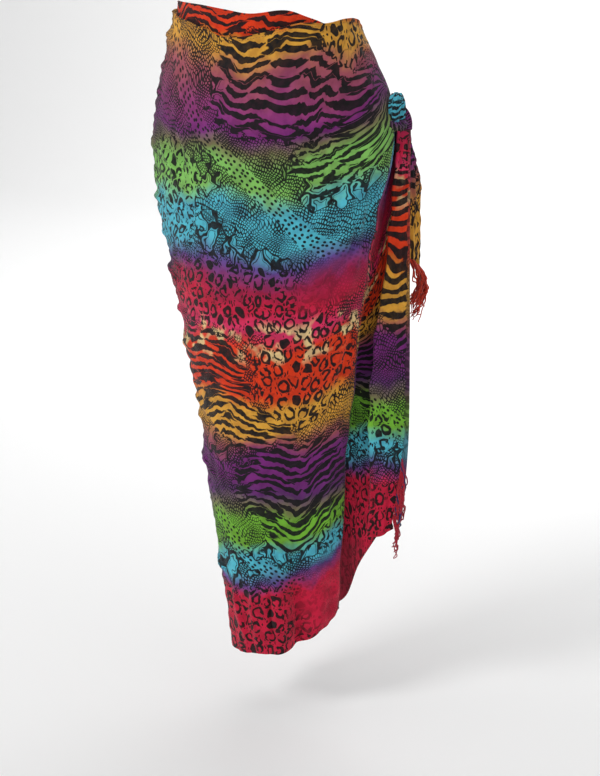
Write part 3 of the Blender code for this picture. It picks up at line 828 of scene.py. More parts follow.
def smooth(table, at, column=1):
    """Smooth curves through one column of a table, read at values of its first column."""
    places = np.array([row[0] for row in table], float)
    values = np.array([row[column] for row in table], float)
    at = np.asarray(at, float)
    if places[0] > places[-1]:
        places = -places
        at = -at
    at = np.clip(at, places[0], places[-1])
    last = len(places) - 1
    i = np.clip(np.searchsorted(places, at, side="right") - 1, 0, last - 1)
    before, after = neighbours(last)
    slopes = (values[after] - values[before]) / (places[after] - places[before])
    width = places[i + 1] - places[i]
    t = (at - places[i]) / width
    return curve_between(t, values[i], values[i + 1], slopes[i] * width, slopes[i + 1] * width)


def ease(low, high, at):
    """0 at low and before it, 1 at high and past it, and a soft step between."""
    t = np.clip((at - low) / (high - low), 0.0, 1.0)
    return t * t * (3 - 2 * t)


def bump(distance, spread):
    """A soft ridge across its spread, 1 at its crest."""
    return np.exp(-((distance / spread) ** 2))


def form_point(angle, height, out):
    """Points on the worn form, moved outwards from the outer cloth."""
    half_width, half_depth, centre_x, centre_y, twist = (
        smooth(SECTIONS, height, column) for column in range(1, 6)
    )
    turn = np.radians(angle)
    across = np.sin(turn) / half_width
    ahead = -np.cos(turn) / half_depth
    size = np.hypot(across, ahead)
    x = half_width * np.sin(turn) + out * across / size
    y = -half_depth * np.cos(turn) + out * ahead / size
    lean = np.radians(twist)
    return np.stack(
        (
            centre_x + x * np.cos(lean) - y * np.sin(lean),
            centre_y + x * np.sin(lean) + y * np.cos(lean),
            np.broadcast_to(height, x.shape),
        ),
        axis=-1,
    )


def fan(folds, angle, height, near=FOLD_NEAR, least=FOLD_LEAST):
    """The lift of the tension folds at places, measured along the cloth from the knot."""
    along = np.radians(np.abs(angle - KNOT_ANGLE)) * KNOT_REACH
    above = height - KNOT_HEIGHT
    distance = np.hypot(along, above)
    lift = np.zeros_like(distance)
    for at, reach, crest, spread in folds:
        share = np.minimum(distance / reach, 1.0)
        swell = 2.2 * share**0.7 * (1 - share) ** 1.2 * ease(near[0], near[1], distance)
        course = math.radians(at)
        aside = above * math.cos(course) - along * math.sin(course)
        forwards = along * math.cos(course) + above * math.sin(course)
        width = np.maximum(distance * math.radians(spread), least)
        lift += np.where(forwards > 0, crest * swell * bump(aside, width), 0.0)
    return lift


def hangs(folds, angle, height):
    """The lift of the long folds that open towards the hem."""
    lift = np.zeros_like(angle)
    for at, spread, top, foot, lift_at_foot, lean in folds:
        down = np.where(height < top, ease(top, foot, height), 0.0)
        lift += lift_at_foot * down * bump(angle - at - lean * down, spread)
    return lift


def buckles(folds, angle, height):
    """The lift of the buckles that run round the body."""
    return sum(
        lift * bump(height - at, spread) * bump(angle - middle, width)
        for at, spread, middle, width, lift in folds
    )


def creases(folds, angle, height):
    """The lift of the listed creases, each soft at its sides and dying out at its ends."""
    along = np.radians(angle) * CREASE_RADIUS
    lift = np.zeros_like(angle)
    for start_angle, start_height, end_angle, end_height, width, crest in folds:
        start = math.radians(start_angle) * CREASE_RADIUS
        run = math.radians(end_angle) * CREASE_RADIUS - start
        drop = end_height - start_height
        length = math.hypot(run, drop)
        forwards = ((along - start) * run + (height - start_height) * drop) / length**2
        aside = ((along - start) * drop - (height - start_height) * run) / length
        bend = width * 0.9 * np.sin(forwards * 5.0 + start_angle)
        taper = ease(-0.05, 0.45, forwards) * (1 - ease(0.55, 1.05, forwards))
        lift += crest * taper * bump(aside + bend, width * (0.6 + 0.4 * taper))
    return lift * bpy.context.scene.sarong_cloth.crease_share


def crumple(angle, height):
    """The fine crumple that worn thin cloth keeps, deeper at the sides than in front."""
    long_way = np.sin(height * 202.0 + 3.0 * np.sin(angle * 0.07 + height * 9.0))
    long_way *= np.sin(angle * 0.13 + 4.0 * np.sin(height * 23.0))
    short_way = np.sin(height * 372.0 + 2.0 * np.sin(angle * 0.21) + 5.0 * np.sin(height * 31.0))
    short_way *= np.sin(angle * 0.19 + 3.0 * np.sin(height * 37.0 + 1.0))
    upright = np.sin(angle * 0.52 + 2.5 * np.sin(height * 17.0))
    upright *= np.sin(height * 43.0 + angle * 0.05)
    side = bump((angle - 80.0) % 180.0 - 20.0, 42.0)
    level = (CRUMPLE_LEAST + CRUMPLE_SIDE * side) * (long_way + 0.7 * short_way)
    return level + CRUMPLE_UPRIGHT * upright


def seam_angle(height):
    """The angle that the gap at a seam takes up."""
    return np.degrees(SEAM_GAP / smooth(SECTIONS, height))


def panel_end(height):
    """The angle where the front panel turns under, which wanders a little down its edge."""
    wander = np.sin(height * 57.0 + 2.0 * np.sin(height * 21.0)) * ease(-0.18, -0.30, height)
    return smooth(PANEL_END, height) + PANEL_WANDER * wander


def carried(angle, height):
    """How far the fall carries the front panel out below the knot."""
    end = panel_end(height)
    return smooth(RIDGE_LIFT, height) * ease(end - RIDGE_WIDTH, end, angle)


def panel_lift(angle, height):
    """How far the front panel stands off the form."""
    end = panel_end(height)
    calm = 1 - ease(end - CALM_WIDTH, end, angle)
    lift = fan(FRONT_FAN, angle, height) + hangs(PANEL_HANGS, angle, height)
    return carried(angle, height) + lift * calm + buckles(PANEL_BUCKLES, angle, height)


def arc_from(points, start):
    """Lengths along each row of a grid of points, from where the start share lies on it."""
    steps = np.linalg.norm(np.diff(points, axis=1), axis=2)
    run = np.concatenate((np.zeros((len(points), 1)), np.cumsum(steps, axis=1)), axis=1)
    columns = np.linspace(0, 1, points.shape[1])
    return run - np.array([np.interp(at, columns, row) for at, row in zip(start, run)])[:, None]


def print_shift(height, top, right):
    """How far the print is drawn up near a top edge, less its sag on the wearer's right side."""
    below_edge = (PANEL_PRINT_TOP + top) * (1 - ease(0.0, PANEL_PRINT_EASE, top - height))
    return below_edge - RIGHT_SAG * right * ease(-0.10, -0.20, height)


def panel_form(across, down):
    """The front panel: its points, and where they lie on the cloth."""
    nominal = PANEL_START + (PANEL_HEM[-1][0] - PANEL_START) * across
    top = smooth(PANEL_TOP, PANEL_START + (PANEL_TOP[-1][0] - PANEL_START) * across)
    height = top + (smooth(PANEL_HEM, nominal) - top) * down
    end = panel_end(height)
    angle = PANEL_START + (end - PANEL_START) * across
    calm = ease(PANEL_START, PANEL_START + START_CALM, angle)
    calm *= 1 - ease(end - CREASE_CALM, end, angle)
    detail = creases(FRONT_CREASES, angle, height) * calm
    detail += crumple(angle, height) * calm
    detail += fan(FRONT_GATHERS, angle, height, near=GATHER_NEAR, least=GATHER_LEAST)
    points = form_point(angle, height, panel_lift(angle, height) + detail)
    front = -PANEL_START / (end[:, 0] - PANEL_START)
    along = arc_from(form_point(angle, height, carried(angle, height)), front)
    beside = ease(end - RIDGE_WIDTH, end, angle)
    drop = -height + RIDGE_DRAW * beside * ease(-0.03, -0.10, height)
    drop += print_shift(height, top, ease(-30.0, -80.0, angle))
    return points, along, drop, np.zeros_like(drop)


def right_edge(height):
    """How far along the cloth its course down the wearer's right side lies from the front."""
    steps = 90
    angles = np.linspace(PANEL_START, 0.0, steps)[None, :] + np.zeros((len(height), 1))
    heights = np.repeat(height[:, None], steps, axis=1)
    points = form_point(angles, heights, carried(angles, heights))
    return -np.linalg.norm(np.diff(points, axis=1), axis=2).sum(axis=1)


def inner_form(across, down):
    """The layer under the front panel."""
    angle = INNER_START + (INNER_END - INNER_START) * across
    top = smooth(INNER_TOP, angle)
    height = top + (smooth(INNER_HEM, angle) - top) * down
    press = np.minimum(panel_lift(angle, height), 0.0)
    points = form_point(angle, height, press - LAYER_STEP)
    front = np.full(len(points), -INNER_START / (INNER_END - INNER_START))
    along = arc_from(points, front) + INNER_ALONG
    return points, along, -height + INNER_DROP, np.zeros_like(along)


def back_form(across, down):
    """The back of the wrap, from under the fall round to the wearer's right."""
    nominal = INNER_END + (BACK_END - INNER_END) * across
    top = smooth(BACK_TOP, nominal)
    height = top + (smooth(BACK_HEM, nominal) - top) * down
    angle = nominal + seam_angle(height) * (1 - across)
    clear = ease(*BACK_CLEAR, angle)
    join = ease(BACK_JOINS, BACK_END, angle)
    lift = fan(BACK_FAN, angle, height) + hangs(BACK_HANGS, angle, height)
    lift += buckles(BACK_BUCKLES, angle, height)
    flare = FLARE_LIFT * ease(*FLARE_HEIGHTS, height) * bump(angle - FLARE_ANGLE, FLARE_SPREAD)
    right_side = panel_lift(angle - 360.0, height)
    under = LAYER_STEP * (1 - ease(*BACK_RISES, angle))
    out = lift * clear * (1 - join) + right_side * join + flare - under
    fine = creases(BACK_CREASES, angle, height) + crumple(angle, height)
    points = form_point(angle, height, out + fine * clear * (1 - join))
    plain = form_point(angle, height, flare + right_side * join)
    along = arc_from(plain, np.ones(len(points))) + right_edge(height[:, -1])[:, None]
    drop = -height + print_shift(height, top, 1.0) * ease(*BACK_PRINT_JOINS, nominal)
    return points, along, drop, np.zeros_like(along)


def line_through(places, shares):
    """Points on smooth lines through rows of places. A share of 1 is the last place."""
    last = places.shape[1] - 1
    i = np.minimum((shares * last).astype(int), last - 1)
    t = (shares * last - i)[None, :, None]
    spans = np.linalg.norm(np.diff(places, axis=1), axis=2)
    sides = np.pad(spans, ((0, 0), (1, 1)))
    before, after = neighbours(last)
    slopes = (places[:, after] - places[:, before]) / (sides[:, :-1] + sides[:, 1:])[:, :, None]
    width = spans[:, i][:, :, None]
    leaving = slopes[:, i] * width
    arriving = slopes[:, i + 1] * width
    return curve_between(t, places[:, i], places[:, i + 1], leaving, arriving)


def fall_places(height):
    """The places across the fall at heights: the turn behind the panel, then the pleats."""
    opened = ease(FALL_TOP, FALL_MIDDLE, height)
    lowered = ease(FALL_MIDDLE, FALL_LOW, height)
    end = panel_end(height) + seam_angle(height) * FALL_SEAM
    back = RETURN_AT_TOP + (RETURN_AT_HEM - RETURN_AT_TOP) * opened
    angles = (
        end,
        end + 2.0,
        end + 0.5,
        end - back * 0.5,
        end - back,
        end - back - TURN_STEP,
        end - back,
        end - back * 0.5,
        end + 1.5,
    )
    places = []
    for angle, under in zip(angles, TURN_OFFSETS):
        places.append(form_point(angle, height, panel_lift(angle, height) - under))
    for top_x, top_y, middle_x, middle_y, low_x, low_y in FALL_PLACES:
        x = top_x + (middle_x - top_x) * opened + (low_x - middle_x) * lowered
        y = top_y + (middle_y - top_y) * opened + (low_y - middle_y) * lowered
        places.append(np.stack((x, y, height), axis=-1))
    return np.stack(places, axis=1)


def fall_detail(points, shares):
    """Moves the fall's points along its own level normal, for the ripples and small folds."""
    run = np.gradient(points, axis=1)
    level = np.stack((run[..., 1], -run[..., 0], np.zeros_like(run[..., 0])), axis=-1)
    level /= np.maximum(np.linalg.norm(level, axis=2, keepdims=True), 1e-9)
    height = points[..., 2]
    lift = np.zeros_like(height)
    for share, width, crest, waves, phase in FALL_RIPPLES:
        sway = 0.010 * np.sin(height * waves * 9.0 + phase)
        swell = 0.65 + 0.35 * np.sin(height * waves * 14.0 + phase * 3)
        lift += crest * swell * bump(shares[None, :] - share - sway, width)
    face = ease(FACE_STARTS, FACE_STARTS + 0.04, shares)[None, :]
    for at, spread, crest in FALL_BUCKLES:
        slant = 0.012 * np.sin(shares * 17.0 + at * 40.0)[None, :]
        lift += crest * face * bump(height - at - slant, spread)
    calm = ease(FALL_TOP, FALL_TOP - 0.03, height)
    rim = ease(RIM_STARTS, 1.0, shares)[None, :]
    frill = FRILL * np.sin(height * 190.0 + 3.0 * np.sin(height * 31.0))
    frill += FINE_FRILL * np.sin(height * 410.0)
    sway = RIDGE_SWAY * np.sin(height * 61.0 + 2.0 * np.sin(height * 23.0))
    ridge = bump(shares - FACE_RIDGE, 0.04)[None, :]
    points = points + level * (lift * calm * (1 - rim * 0.7))[..., None]
    points[..., 0] += (frill * rim + sway * ridge) * calm
    return points


def tail_places(height):
    """The places across the loose corner at heights."""
    opened = ease(TAIL_TOP, TAIL_OPEN, height)
    places = []
    for top_x, top_y, low_x, low_y in TAIL_PLACES:
        x = top_x + (low_x - top_x) * opened
        y = top_y + (low_y - top_y) * opened
        places.append(np.stack((x, y, height), axis=-1))
    return np.stack(places, axis=1)


def hung_points(places_at, shares, heights):
    """Points of a hanging sheet, on smooth lines through its places at each height."""
    points = np.empty((*heights.shape, 3))
    for column, share in enumerate(shares):
        places = places_at(heights[:, column])
        points[:, column] = line_through(places, np.array([share]))[:, 0]
    return points


def fall_form(across, down):
    """The fall's pleats, and the turn behind the panel that leads to them."""
    shares = across[0]
    heights = FALL_TOP + (smooth(FALL_HEM, shares)[None, :] - FALL_TOP) * down
    points = hung_points(fall_places, shares, heights)
    along = arc_from(points, np.ones(len(points))) + FALL_ALONG
    points = fall_detail(points, shares)
    face = ease(*TURN_ENDS, across)
    draw = smooth(FALL_DRAW, heights) * face + smooth(FALL_DRAW, heights, 2) * (1 - face)
    drop = FALL_TURN_DROP - np.abs(draw - heights - FALL_TURN_DROP)
    # Painted shade: low in the turn behind the panel, the cloth is dulled as its turned side and
    # darkened as shade
    turned_and_shaded = ease(*TURNED_AND_SHADED_HEIGHTS, heights) * (1 - face)
    return points, along, drop, turned_and_shaded


def tail_form(across, down):
    """The loose corner below the knot."""
    shares = across[0]
    heights = TAIL_TOP + (smooth(TAIL_HEM, shares)[None, :] - TAIL_TOP) * down
    points = hung_points(tail_places, shares, heights)
    along = arc_from(points, np.zeros(len(points))) + TAIL_ALONG
    lift = crumple(shares[None, :] * 90.0 + 60.0, heights) * TAIL_CRUMPLE
    points[..., 0] += lift * ease(TAIL_TOP, TAIL_TOP - 0.03, heights)
    return points, along, smooth(TAIL_DRAW, heights), np.zeros_like(along)


def from_place(along, drop, middle, low):
    """How far along and down places lie from one on the print, on its nearest repeat."""
    x = (along - middle + TILE_WIDTH / 2) % TILE_WIDTH - TILE_WIDTH / 2
    y = (drop - low + TILE_DROP / 2) % TILE_DROP - TILE_DROP / 2
    return x, y


def leaned(x, y, degrees):
    """The same offset along and across a line that leans down by so many degrees."""
    lean = math.radians(degrees)
    return x * math.cos(lean) + y * math.sin(lean), y * math.cos(lean) - x * math.sin(lean)


def patch_share(patches, along, drop):
    """How far inside the nearest patch each place is: 1 at its middle and 0 at its edge."""
    best = np.full(along.shape, -1.0)
    for middle, low, half_width, half_drop, turn in patches:
        x, y = leaned(*from_place(along, drop, middle, low), turn)
        best = np.maximum(best, 1 - np.hypot(x / half_width, y / half_drop))
    return best


def band_place(along, drop):
    """Across and along the dotted band, from the nearest stretch of its course."""
    nearest = np.full(along.shape, FAR_OFF)
    across = np.full(along.shape, FAR_OFF)
    forwards = np.zeros(along.shape)
    stretches = [pair for course in BAND_COURSES for pair in zip(course, course[1:])]
    run = 0.0
    for start, end in stretches:
        length = math.hypot(end[0] - start[0], end[1] - start[1])
        way = ((end[0] - start[0]) / length, (end[1] - start[1]) / length)
        x, y = from_place(along, drop, (start[0] + end[0]) / 2, (start[1] + end[1]) / 2)
        on = x * way[0] + y * way[1]
        off = x * way[1] - y * way[0]
        distance = np.hypot(off, np.maximum(np.abs(on) - length / 2, 0.0))
        here = distance < nearest
        nearest = np.where(here, distance, nearest)
        across = np.where(here, np.where(off < 0, -distance, distance), across)
        forwards = np.where(here, run + on + length / 2, forwards)
        run += length
    return across, forwards


def stripe_way(points, along, drop):
    """Along and across the stripes, which slant and sweep into the knot, and how even they are."""
    weight = np.full(along.shape, 1e-12)
    forwards = along * weight
    level = drop * weight
    for middle, low, slant in STRIPE_SLANTS:
        x, y = from_place(along, drop, middle, low)
        near = np.exp(-(x * x + y * y) / SLANT_REACH**2)
        onwards, aside = leaned(x, y, slant)
        forwards += near * (middle + onwards)
        level += near * (low + aside)
        weight += near
    forwards /= weight
    level /= weight
    aside = from_place(along, drop, EVEN_ALONG, EVEN_DROP)[0]
    even = bump(aside, EVEN_WIDTH) * bump(drop - EVEN_DROP, EVEN_HEIGHT)
    arch = drop - ARCH_RISE * np.cos(aside * 100.0) - aside * ARCH_SLANT
    arch += ARCH_WOBBLE * np.sin(drop * 75.0 + aside * 90.0)
    level = level * (1 - even) + arch * even
    forwards = forwards * (1 - even) + along * even
    run = np.maximum(SWEEP_ALONG - along, 0.0)
    below = drop - SWEEP_DROP
    distance = np.hypot(run, below)
    sweep = np.arctan2(below, np.maximum(run, 0.001)) * np.hypot(SWEEP_LEAST, distance)
    front = (along < SWEEP_ALONG) & (points[..., 1] < 0.02)
    near = np.where(front, 1 - ease(*SWEEP_FADE, distance), 0.0)
    level = level * (1 - near) + (SWEEP_DROP + sweep) * near
    return forwards * (1 - near) - distance * near, level, even


def keep_vector(mesh, name, columns):
    """Stores up to three columns of values on a mesh's points as one vector attribute."""
    values = np.zeros((len(mesh.vertices), 3), np.float32)
    for column, part in enumerate(columns):
        values[:, column] = part.ravel()
    mesh.attributes.new(name, "FLOAT_VECTOR", "POINT").data.foreach_set("vector", values.ravel())


def keep_print(mesh, points, along, drop, turned_and_shaded):
    """Stores where each point lies on the print: its place, patches, band and stripe way."""
    # cloth_place keeps along, drop, and the share of the turned side that is dulled and darkened
    # with painted shade
    keep_vector(mesh, "cloth_place", (along, drop, turned_and_shaded))
    patches = (TIGER_PATCHES, LEOPARD_PATCHES, RAGGED_PATCHES)
    keep_vector(mesh, "patches", [patch_share(kind, along, drop) for kind in patches])
    plain = patch_share(PLAIN_PATCHES, along, drop)
    keep_vector(mesh, "band", (*band_place(along, drop), plain))
    keep_vector(mesh, "stripe_way", stripe_way(points, along, drop))


def placed(name, data):
    """A new object in the scene."""
    made = bpy.data.objects.new(name, data)
    bpy.context.scene.collection.objects.link(made)
    return made


def cloth_sheet(name, form, node, columns, rows):
    """A grid of cloth on its form, as a thin shell with the print's other side within."""
    mesh = bpy.data.meshes.new(name)
    grid = bmesh.new()
    bmesh.ops.create_grid(grid, x_segments=columns, y_segments=rows, size=0.5)
    grid.to_mesh(mesh)
    grid.free()
    across, down = np.meshgrid(np.linspace(0, 1, columns + 1), np.linspace(1, 0, rows + 1))
    points, along, drop, turned_and_shaded = form(across, down)
    mesh.vertices.foreach_set("co", points.astype(np.float32).ravel())
    mesh.update()
    keep_print(mesh, points, along, drop, turned_and_shaded)
    for material in cloth_finishes():
        mesh.materials.append(material)
    mesh.shade_smooth()
    sheet = placed(name, mesh)
    sheet["columns"] = columns
    shell = sheet.modifiers.new("cloth thickness", "SOLIDIFY")
    shell.thickness = bpy.context.scene.sarong_cloth.thickness
    shell.offset = 0.0
    shell.material_offset = 1
    settle(sheet, [node])
    return sheet


def settle(piece, nodes):
    """Sets a piece on its body, in place of its nodes."""
    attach(piece, "root")
    if nodes:
        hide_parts(*nodes)


class Value:
    """A socket in a tree of nodes. Arithmetic on it adds the Math node that works it out."""

    def __init__(self, tree, socket):
        self.tree = tree
        self.socket = socket

    def math(self, operation, *values, clamp=False):
        settings = {"operation": operation, "use_clamp": clamp}
        return self.tree.node("ShaderNodeMath", settings, dict(enumerate(values)))

    def __add__(self, other):
        return self.math("ADD", self, other)

    def __radd__(self, other):
        return self.math("ADD", other, self)

    def __sub__(self, other):
        return self.math("SUBTRACT", self, other)

    def __rsub__(self, other):
        return self.math("SUBTRACT", other, self)

    def __mul__(self, other):
        return self.math("MULTIPLY", self, other)

    def __rmul__(self, other):
        return self.math("MULTIPLY", other, self)

    def __truediv__(self, other):
        return self.math("DIVIDE", self, other)

    def __abs__(self):
        return self.math("ABSOLUTE", self)

    def sine(self):
        return self.math("SINE", self)

    def least(self, other):
        return self.math("MINIMUM", self, other)

    def most(self, other):
        return self.math("MAXIMUM", self, other)

    def step(self, low, high):
        """0 below low and 1 above high, softly. With low above high it falls instead."""
        return self.tree.node(
            "ShaderNodeMapRange",
            {"interpolation_type": "SMOOTHSTEP"},
            {"Value": self, "From Min": low, "From Max": high, "To Min": 0.0, "To Max": 1.0},
        )


class Tree:
    """A tree of nodes, for a material or for geometry."""

    def __init__(self, nodes, links):
        self.nodes = nodes
        self.links = links

    def node(self, kind, settings=None, values=None, output=0):
        """Adds a node, with its settings first and then the values or links of its sockets."""
        made = self.nodes.new(kind)
        for setting, value in (settings or {}).items():
            setattr(made, setting, value)
        for socket, value in (values or {}).items():
            target = made.inputs[socket]
            if isinstance(value, Value):
                self.links.new(value.socket, target)
            else:
                target.default_value = value
        if isinstance(output, (tuple, list)):
            return [Value(self, made.outputs[name]) for name in output]
        return Value(self, made.outputs[output])

    def feed(self, value, node, socket):
        """Leads a value into a socket of a node that is there already."""
        self.links.new(value.socket, node.inputs[socket])

    def vector(self, x=0.0, y=0.0, z=0.0):
        return self.node("ShaderNodeCombineXYZ", {}, {"X": x, "Y": y, "Z": z}, "Vector")

    def parts(self, vector):
        return self.node("ShaderNodeSeparateXYZ", {}, {"Vector": vector}, ("X", "Y", "Z"))

    def vector_math(self, operation, first, second):
        """Arithmetic on vectors. To scale one, the second is a number."""
        other = "Scale" if operation == "SCALE" else 1
        settings = {"operation": operation}
        return self.node("ShaderNodeVectorMath", settings, {0: first, other: second})

    def attribute(self, name):
        return self.node("ShaderNodeAttribute", {"attribute_name": name}, {}, "Vector")

    def noise(self, place, scale, detail=2.0, roughness=0.5):
        values = {"Vector": place, "Scale": scale, "Detail": detail, "Roughness": roughness}
        return self.node("ShaderNodeTexNoise", {"noise_dimensions": "2D"}, values, "Fac")

    def cells(self, place, scale, randomness, feature="F1", output="Distance"):
        settings = {"voronoi_dimensions": "2D", "feature": feature}
        values = {"Vector": place, "Scale": scale, "Randomness": randomness}
        return self.node("ShaderNodeTexVoronoi", settings, values, output)

    def blend(self, share, first, second, kind="MIX"):
        """A colour between two, by share. Its sockets share their names, so they go by number."""
        settings = {"data_type": "RGBA", "blend_type": kind}
        return self.node("ShaderNodeMix", settings, {0: share, 6: first, 7: second}, 2)

    def between(self, share, first, second):
        """A number between two, by share."""
        return first + share * (second - first)

    def relief(self, height, strength, distance, shader):
        """Raises a finish by a height, as a bump."""
        values = {"Strength": strength, "Distance": distance, "Height": height}
        self.feed(self.node("ShaderNodeBump", {}, values, "Normal"), shader, "Normal")

    def kept(self, name):
        """A vector that the mesh keeps under a name."""
        settings = {"data_type": "FLOAT_VECTOR"}
        return self.node("GeometryNodeInputNamedAttribute", settings, {"Name": name}, "Attribute")

    def keep(self, shape, name, value, domain):
        """The shape with a vector kept on it under a name."""
        settings = {"data_type": "FLOAT_VECTOR", "domain": domain}
        values = {"Geometry": shape, "Name": name, "Value": value}
        return self.node("GeometryNodeStoreNamedAttribute", settings, values)

    def drawn(self, low, high, seed):
        """A number drawn at random for each item, by a fixed seed."""
        values = {2: low, 3: high, "Seed": seed}
        return self.node("FunctionNodeRandomValue", {"data_type": "FLOAT"}, values, 1)


def new_finish(name, roughness, sheen, specular):
    """A named material with its constants on its shader, and the tree to paint it in."""
    material = bpy.data.materials.new(name)
    material.use_nodes = True
    shader = material.node_tree.nodes["Principled BSDF"]
    shader.inputs["Roughness"].default_value = roughness
    shader.inputs["Sheen Weight"].default_value = sheen
    shader.inputs["Sheen Roughness"].default_value = 0.45
    shader.inputs["Specular IOR Level"].default_value = specular
    return material, shader, Tree(material.node_tree.nodes, material.node_tree.links)


def dye_colour(paint, along, drop):
    """The dye's bands down the cloth, bled into each other and blotched."""
    tones = bpy.context.scene.sarong_print
    spread = paint.noise(paint.vector(along, drop), 9.0, 1.0)
    blot = paint.noise(paint.vector(along + 3.7, drop), 34.0, 3.0, 0.6)
    level = drop + (spread - 0.5) * DYE_SPREAD + (blot - 0.5) * DYE_BLOT
    colour = paint.node("ShaderNodeValToRGB", {}, {}, "Color")
    ramp = colour.socket.node
    stops = ramp.color_ramp.elements
    while len(stops) < len(DYES):
        stops.new(1.0)
    for stop, (place, name) in zip(stops, DYES):
        stop.position = place
        stop.color = (*getattr(tones, name), 1.0)
    paint.feed(level, ramp, "Fac")
    pale = paint.noise(paint.vector(along + 1.9, drop), 30.0, 2.0).step(0.50, 0.64)
    pale = pale * (PALE_HALF - abs(drop - PALE_DROP)).step(-0.012, 0.012)
    colour = paint.blend(pale * 0.9, colour, (*tones.cream, 1.0))
    mottle = paint.noise(paint.vector(along, drop + 5.1), 44.0, 3.0, 0.6)
    shade = mottle.step(0.34, 0.70) * 0.55
    return paint.blend(shade, colour, MOTTLE_TONE, "MULTIPLY")


def tiger_marks(paint, way_along, way_across, even):
    """Dark stripes that wave together, fork and end in points, less so where they are even."""
    pitch = bpy.context.scene.sarong_print.stripe_pitch
    place = paint.vector(way_along, way_across * 0.6)
    swing = paint.noise(place, 15.0, 1.0) - 0.5
    jog = paint.noise(place, 62.0, 2.0) - 0.5
    across = way_across + (swing * 0.019 + jog * 0.012) * (1.0 - even * 0.62)
    wave = (across * (2 * math.pi / pitch)).sine()
    stretched = paint.vector(way_along * 0.18, across)
    lens = paint.cells(stretched, 1.22 / pitch, 1.0, "DISTANCE_TO_EDGE")
    edge = paint.noise(paint.vector(way_along, way_across), 190.0, 1.0) - 0.5
    torn = (lens - 0.142) * 4.4 * (1.0 - even * 0.52)
    return (torn + wave * (0.58 + even * 0.25) + edge * 0.3).step(-0.10, 0.10)


def swerve(paint, along, drop, other, scale, detail, reach):
    """How far a kind of marking swerves along and down at a place on the print."""
    aside = (paint.noise(paint.vector(along, drop), scale, detail) - 0.5) * reach
    down = (paint.noise(paint.vector(along + other, drop), scale, detail) - 0.5) * reach
    return aside, down


def leopard_marks(paint, along, drop):
    """Broken rings, each a little different, with some solid spots among them."""
    size = bpy.context.scene.sarong_print.rosette
    aside, down = swerve(paint, along, drop, 7.3, 60.0, 2.0, 0.009)
    x = along * 1.04 + aside
    y = drop * 0.82 + down
    place = paint.vector(x, y)
    edge = paint.cells(place, 1 / size, 0.80, "DISTANCE_TO_EDGE")
    distance, tint = paint.cells(place, 1 / size, 0.80, output=("Distance", "Color"))
    lot, turn, _rest = paint.parts(tint)
    gap = paint.noise(paint.vector(along + turn * 2.0, drop), 88.0, 1.0)
    inside = edge * 0.50 + (0.50 - distance) * 0.50
    solid = (lot - 0.86).step(-0.01, 0.01)
    outer = (inside - (0.090 + solid * 0.060)).step(-0.020, 0.020)
    core = (inside - (0.270 + turn * 0.070)).step(-0.022, 0.022) * (1.0 - solid)
    cut = gap.step(0.425, 0.390) * (inside - 0.10).step(-0.03, 0.03) * (1.0 - solid)
    dash = paint.cells(paint.vector(x * 1.7, y), 1.9 / size, 1.0)
    dash = (0.21 - dash).step(-0.03, 0.03) * (0.045 - inside).step(-0.02, 0.02)
    return (outer * (1.0 - core) * (1.0 - cut)).most(dash)


def snake_marks(paint, along, drop):
    """A net of small slanting scales, with darker drifts."""
    size = bpy.context.scene.sarong_print.scale_size
    bend = paint.noise(paint.vector(along, drop), 22.0, 1.0) - 0.5
    x = along * 0.88 + drop * 0.47 + bend * 0.024
    y = drop * 0.80 - along * 0.42 + bend * 0.024
    edge = paint.cells(paint.vector(x, y), 1 / size, 0.55, "DISTANCE_TO_EDGE")
    drift = paint.noise(paint.vector(along, drop + 1.3), 26.0, 3.0, 0.6).step(0.36, 0.66)
    return (0.120 + drift * 0.13 - edge).step(-0.07, 0.07)


def band_marks(paint, across, forwards):
    """Dots in columns on bare dye."""
    pitch = bpy.context.scene.sarong_print.dot_pitch
    spot = paint.cells(paint.vector(across * 1.12, forwards * 0.80), 1 / pitch, 0.55)
    return (0.290 - spot).step(-0.045, 0.045)


def ragged_marks(paint, along, drop, net):
    """Torn shapes with a thick outline and a thin one inside it, some filled with the net."""
    size = bpy.context.scene.sarong_print.outline
    aside, down = swerve(paint, along, drop, 2.9, 52.0, 1.0, 0.020)
    place = paint.vector(along * 1.15 + aside, drop * 0.75 + down)
    edge = paint.cells(place, 1 / size, 0.95, "DISTANCE_TO_EDGE")
    lot, _turn, _rest = paint.parts(paint.cells(place, 1 / size, 0.95, output="Color"))
    outline = (0.044 - abs(edge - 0.034)).step(-0.014, 0.014)
    inner = (0.020 - abs(edge - 0.170)).step(-0.012, 0.012) * (lot - 0.35).step(-0.02, 0.02)
    filling = net * (0.42 - lot).step(-0.01, 0.01) * (edge - 0.08).step(-0.01, 0.01)
    return outline.most(inner).most(filling)


def print_marks(paint, along, drop):
    """All the markings, each kind in its patches with ragged borders between them."""
    tiger, leopard, ragged = paint.parts(paint.attribute("patches"))
    across, forwards, plain = paint.parts(paint.attribute("band"))
    way_along, way_across, even = paint.parts(paint.attribute("stripe_way"))
    fray = paint.noise(paint.vector(along, drop + 2.2), 52.0, 2.0, 0.6) - 0.5
    tear = paint.noise(paint.vector(along + 4.4, drop), 40.0, 1.0) - 0.5
    band_edge = abs(across) + fray * 0.010
    band = band_edge.step(BAND_HALF + 0.0012, BAND_HALF - 0.0012)
    net = snake_marks(paint, along, drop)
    marks = paint.between(band, net, band_marks(paint, across, forwards))
    torn = ragged + tear * 1.5
    striped = tiger - leopard.most(0.0) * 1.6 + fray * 0.9
    for inside, kind in (
        (torn, ragged_marks(paint, along, drop, net)),
        (leopard + fray * 0.9, leopard_marks(paint, along, drop)),
        (striped, tiger_marks(paint, way_along, way_across, even)),
    ):
        marks = paint.between(inside.step(-0.012, 0.012), marks, kind)
    clear = (tiger.most(leopard) + fray * 0.9).step(0.03, -0.03)
    rim = (0.055 - abs(torn)).step(-0.020, 0.020) * clear
    fade = (plain + fray * 0.8).step(-0.25, 0.35)
    return marks.most(rim) * (1.0 - fade * 0.72)


